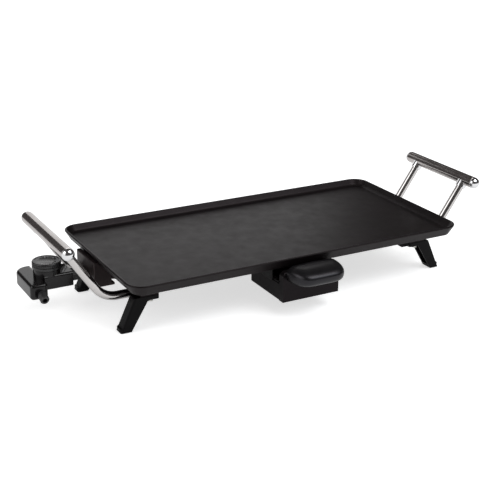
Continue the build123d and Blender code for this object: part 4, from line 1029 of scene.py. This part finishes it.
@dataclass
class Studio:
    """The floor, the backdrop, the lamps and the camera."""

    eye: tuple[float, float, float] = (-0.69355, -1.2062, 0.5840)
    azimuth: float = -28.89
    elevation: float = 20.83
    roll: float = 0.535
    lens: float = 82.15
    sensor: float = 36.0
    floor_half: float = 6.0
    paper: float = 0.80
    paper_glow: float = 0.63
    paper_shine: float = 0.18
    room_light: float = 0.55
    room: tuple[float, float, float, float, float] = (-1.8, 1.8, -2.2, 1.2, 1.9)
    opening: tuple[float, float, float] = (-0.30, 0.9, 0.93)
    left_start: float = -1.0
    aim: tuple[float, float, float] = (0.0, 0.0, 0.06)
    softboxes: tuple[Softbox, ...] = (
        Softbox("key", (0.45, -0.85, 1.55), (1.3, 0.9), 14.0),
        Softbox("side", (-1.6, 0.1, 1.1), (1.0, 1.0), 5.0),
        Softbox("front", (0.9, -1.3, 1.4), (0.9, 0.9), 5.0, (0.88, 0.94, 1.0)),
    )

    def build(self) -> None:
        """Set up the whole studio."""
        self._world()
        self._floor()
        self._flags()
        for softbox in self.softboxes:
            self._lamp(softbox)
        self._camera()
        bpy.context.scene.view_settings.view_transform = "Standard"
        LOG.info("studio ready")

    def _camera(self) -> None:
        """Place the camera."""
        data = bpy.data.cameras.new("camera")
        data.lens = self.lens
        data.sensor_width = self.sensor
        data.clip_end = 50.0
        camera = bpy.data.objects.new("camera", data)
        bpy.context.scene.collection.objects.link(camera)
        turn = math.radians(self.azimuth)
        rise = math.radians(self.elevation)
        back = Vector((
            math.sin(turn) * math.cos(rise), -math.cos(turn) * math.cos(rise), math.sin(rise)
        ))
        side = (-back).cross(Vector((0.0, 0.0, 1.0))).normalized()
        up = side.cross(-back)
        tilt = math.radians(self.roll)
        right = side * math.cos(tilt) + up * math.sin(tilt)
        top = up * math.cos(tilt) - side * math.sin(tilt)
        pose = Matrix((right, top, back)).transposed().to_4x4()
        pose.translation = Vector(self.eye)
        camera.matrix_world = pose
        bpy.context.scene.camera = camera

    def _world(self) -> None:
        """Make the surroundings white to the eye and in reflections, and soft as a light."""
        world = bpy.data.worlds.new("room")
        bpy.context.scene.world = world
        world.use_nodes = True
        tree = world.node_tree
        background = tree.nodes["Background"]
        background.inputs["Color"].default_value = (1.0, 1.0, 1.0, 1.0)
        path = tree.nodes.new("ShaderNodeLightPath")
        seen = tree.nodes.new("ShaderNodeMath")
        seen.operation = "MAXIMUM"
        strength = tree.nodes.new("ShaderNodeMapRange")
        strength.inputs["To Min"].default_value = self.room_light
        strength.inputs["To Max"].default_value = 1.0
        tree.links.new(path.outputs["Is Camera Ray"], seen.inputs[0])
        tree.links.new(path.outputs["Is Glossy Ray"], seen.inputs[1])
        tree.links.new(seen.outputs["Value"], strength.inputs["Value"])
        tree.links.new(strength.outputs["Result"], background.inputs["Strength"])

    def _floor(self) -> None:
        """Lay the pale floor."""
        mesh = bpy.data.meshes.new("floor")
        half = self.floor_half
        corners = [(-half, -half, 0.0), (half, -half, 0.0), (half, half, 0.0), (-half, half, 0.0)]
        mesh.from_pydata(corners, [], [(0, 1, 2, 3)])
        floor = bpy.data.objects.new("floor", mesh)
        bpy.context.scene.collection.objects.link(floor)
        floor.data.materials.append(self._floor_material())

    def _floor_material(self) -> bpy.types.Material:
        """Make the floor's paper, white to the eye and in reflections.

        Returns:
            The material.
        """
        made = bpy.data.materials.new("studio_paper")
        made.use_nodes = True
        tree = made.node_tree
        shader = tree.nodes["Principled BSDF"]
        shader.inputs["Base Color"].default_value = (self.paper, self.paper, self.paper, 1.0)
        shader.inputs["Roughness"].default_value = 0.9
        shader.inputs["Specular IOR Level"].default_value = 0.1
        shader.inputs["Emission Color"].default_value = (1.0, 1.0, 1.0, 1.0)
        path = tree.nodes.new("ShaderNodeLightPath")
        strength = tree.nodes.new("ShaderNodeMath")
        strength.operation = "MULTIPLY_ADD"
        strength.inputs[1].default_value = self.paper_glow
        shine = tree.nodes.new("ShaderNodeMath")
        shine.operation = "MULTIPLY"
        shine.inputs[1].default_value = self.paper_shine
        tree.links.new(path.outputs["Is Camera Ray"], strength.inputs[0])
        tree.links.new(path.outputs["Is Glossy Ray"], shine.inputs[0])
        tree.links.new(shine.outputs["Value"], strength.inputs[2])
        tree.links.new(strength.outputs["Value"], shader.inputs["Emission Strength"])
        return made

    def _flags(self) -> None:
        """Hang the black flags that give polished metal and gloss their dark bands."""
        left, right, front, back, top = self.room
        gap_left, gap_right, gap_top = self.opening
        walls = [
            ((left, back), (gap_left, back), 0.0),
            ((gap_left, back), (gap_right, back), gap_top),
            ((gap_right, back), (right, back), 0.0),
            ((right, back), (right, front), 0.0),
            ((left, front), (right, front), 0.0),
            ((left, self.left_start), (left, front), 0.0),
        ]
        panels = [
            [(*start, low), (*end, low), (*end, top), (*start, top)] for start, end, low in walls
        ]
        panels.append([(left, front, top), (right, front, top), (right, back, top), (left, back, top)])
        corners = [corner for panel in panels for corner in panel]
        faces = [tuple(range(4 * i, 4 * i + 4)) for i in range(len(panels))]
        mesh = bpy.data.meshes.new("studio_flags")
        mesh.from_pydata(corners, [], faces)
        flags = bpy.data.objects.new("studio_flags", mesh)
        bpy.context.scene.collection.objects.link(flags)
        flags.visible_camera = False
        flags.visible_diffuse = False
        flags.visible_shadow = False
        flags.visible_transmission = False
        flags.data.materials.append(self._flag_cloth())

    def _flag_cloth(self) -> bpy.types.Material:
        """Make the flags' black cloth, with a faint warm painted glow that lifts the dark bands it gives in
        reflections.

        Returns:
            The material.
        """
        made = bpy.data.materials.new("studio_cloth")
        made.use_nodes = True
        shader = made.node_tree.nodes["Principled BSDF"]
        shader.inputs["Base Color"].default_value = (0.03, 0.028, 0.028, 1.0)
        shader.inputs["Roughness"].default_value = 1.0
        shader.inputs["Specular IOR Level"].default_value = 0.0
        # painted glow: the cloth is no lamp; this faint warm emission stands in for dim room light seen in
        # the flags' reflections
        shader.inputs["Emission Color"].default_value = (1.0, 0.94, 0.93, 1.0)
        shader.inputs["Emission Strength"].default_value = 0.06
        return made

    def _lamp(self, softbox: Softbox) -> None:
        """Hang one softbox that faces the object.

        Args:
            softbox: The lamp to hang.
        """
        data = bpy.data.lights.new(softbox.name, "AREA")
        data.shape = "RECTANGLE"
        data.size, data.size_y = softbox.size
        data.energy = softbox.power
        data.color = softbox.tint
        lamp = bpy.data.objects.new(softbox.name, data)
        lamp.location = softbox.place
        lamp.rotation_mode = "QUATERNION"
        away = Vector(self.aim) - Vector(softbox.place)
        lamp.rotation_quaternion = away.to_track_quat("-Z", "Y")
        bpy.context.scene.collection.objects.link(lamp)


def main() -> None:
    """Build the scene."""
    logging.basicConfig(level=logging.INFO, format="%(message)s")
    Studio().build()
    CadDress().build()
    for side in ("left", "right"):
        Handle(side).build()
    Dial().build()
    Pull().build()
    Gland().build()


if __name__ == "__main__":
    main()
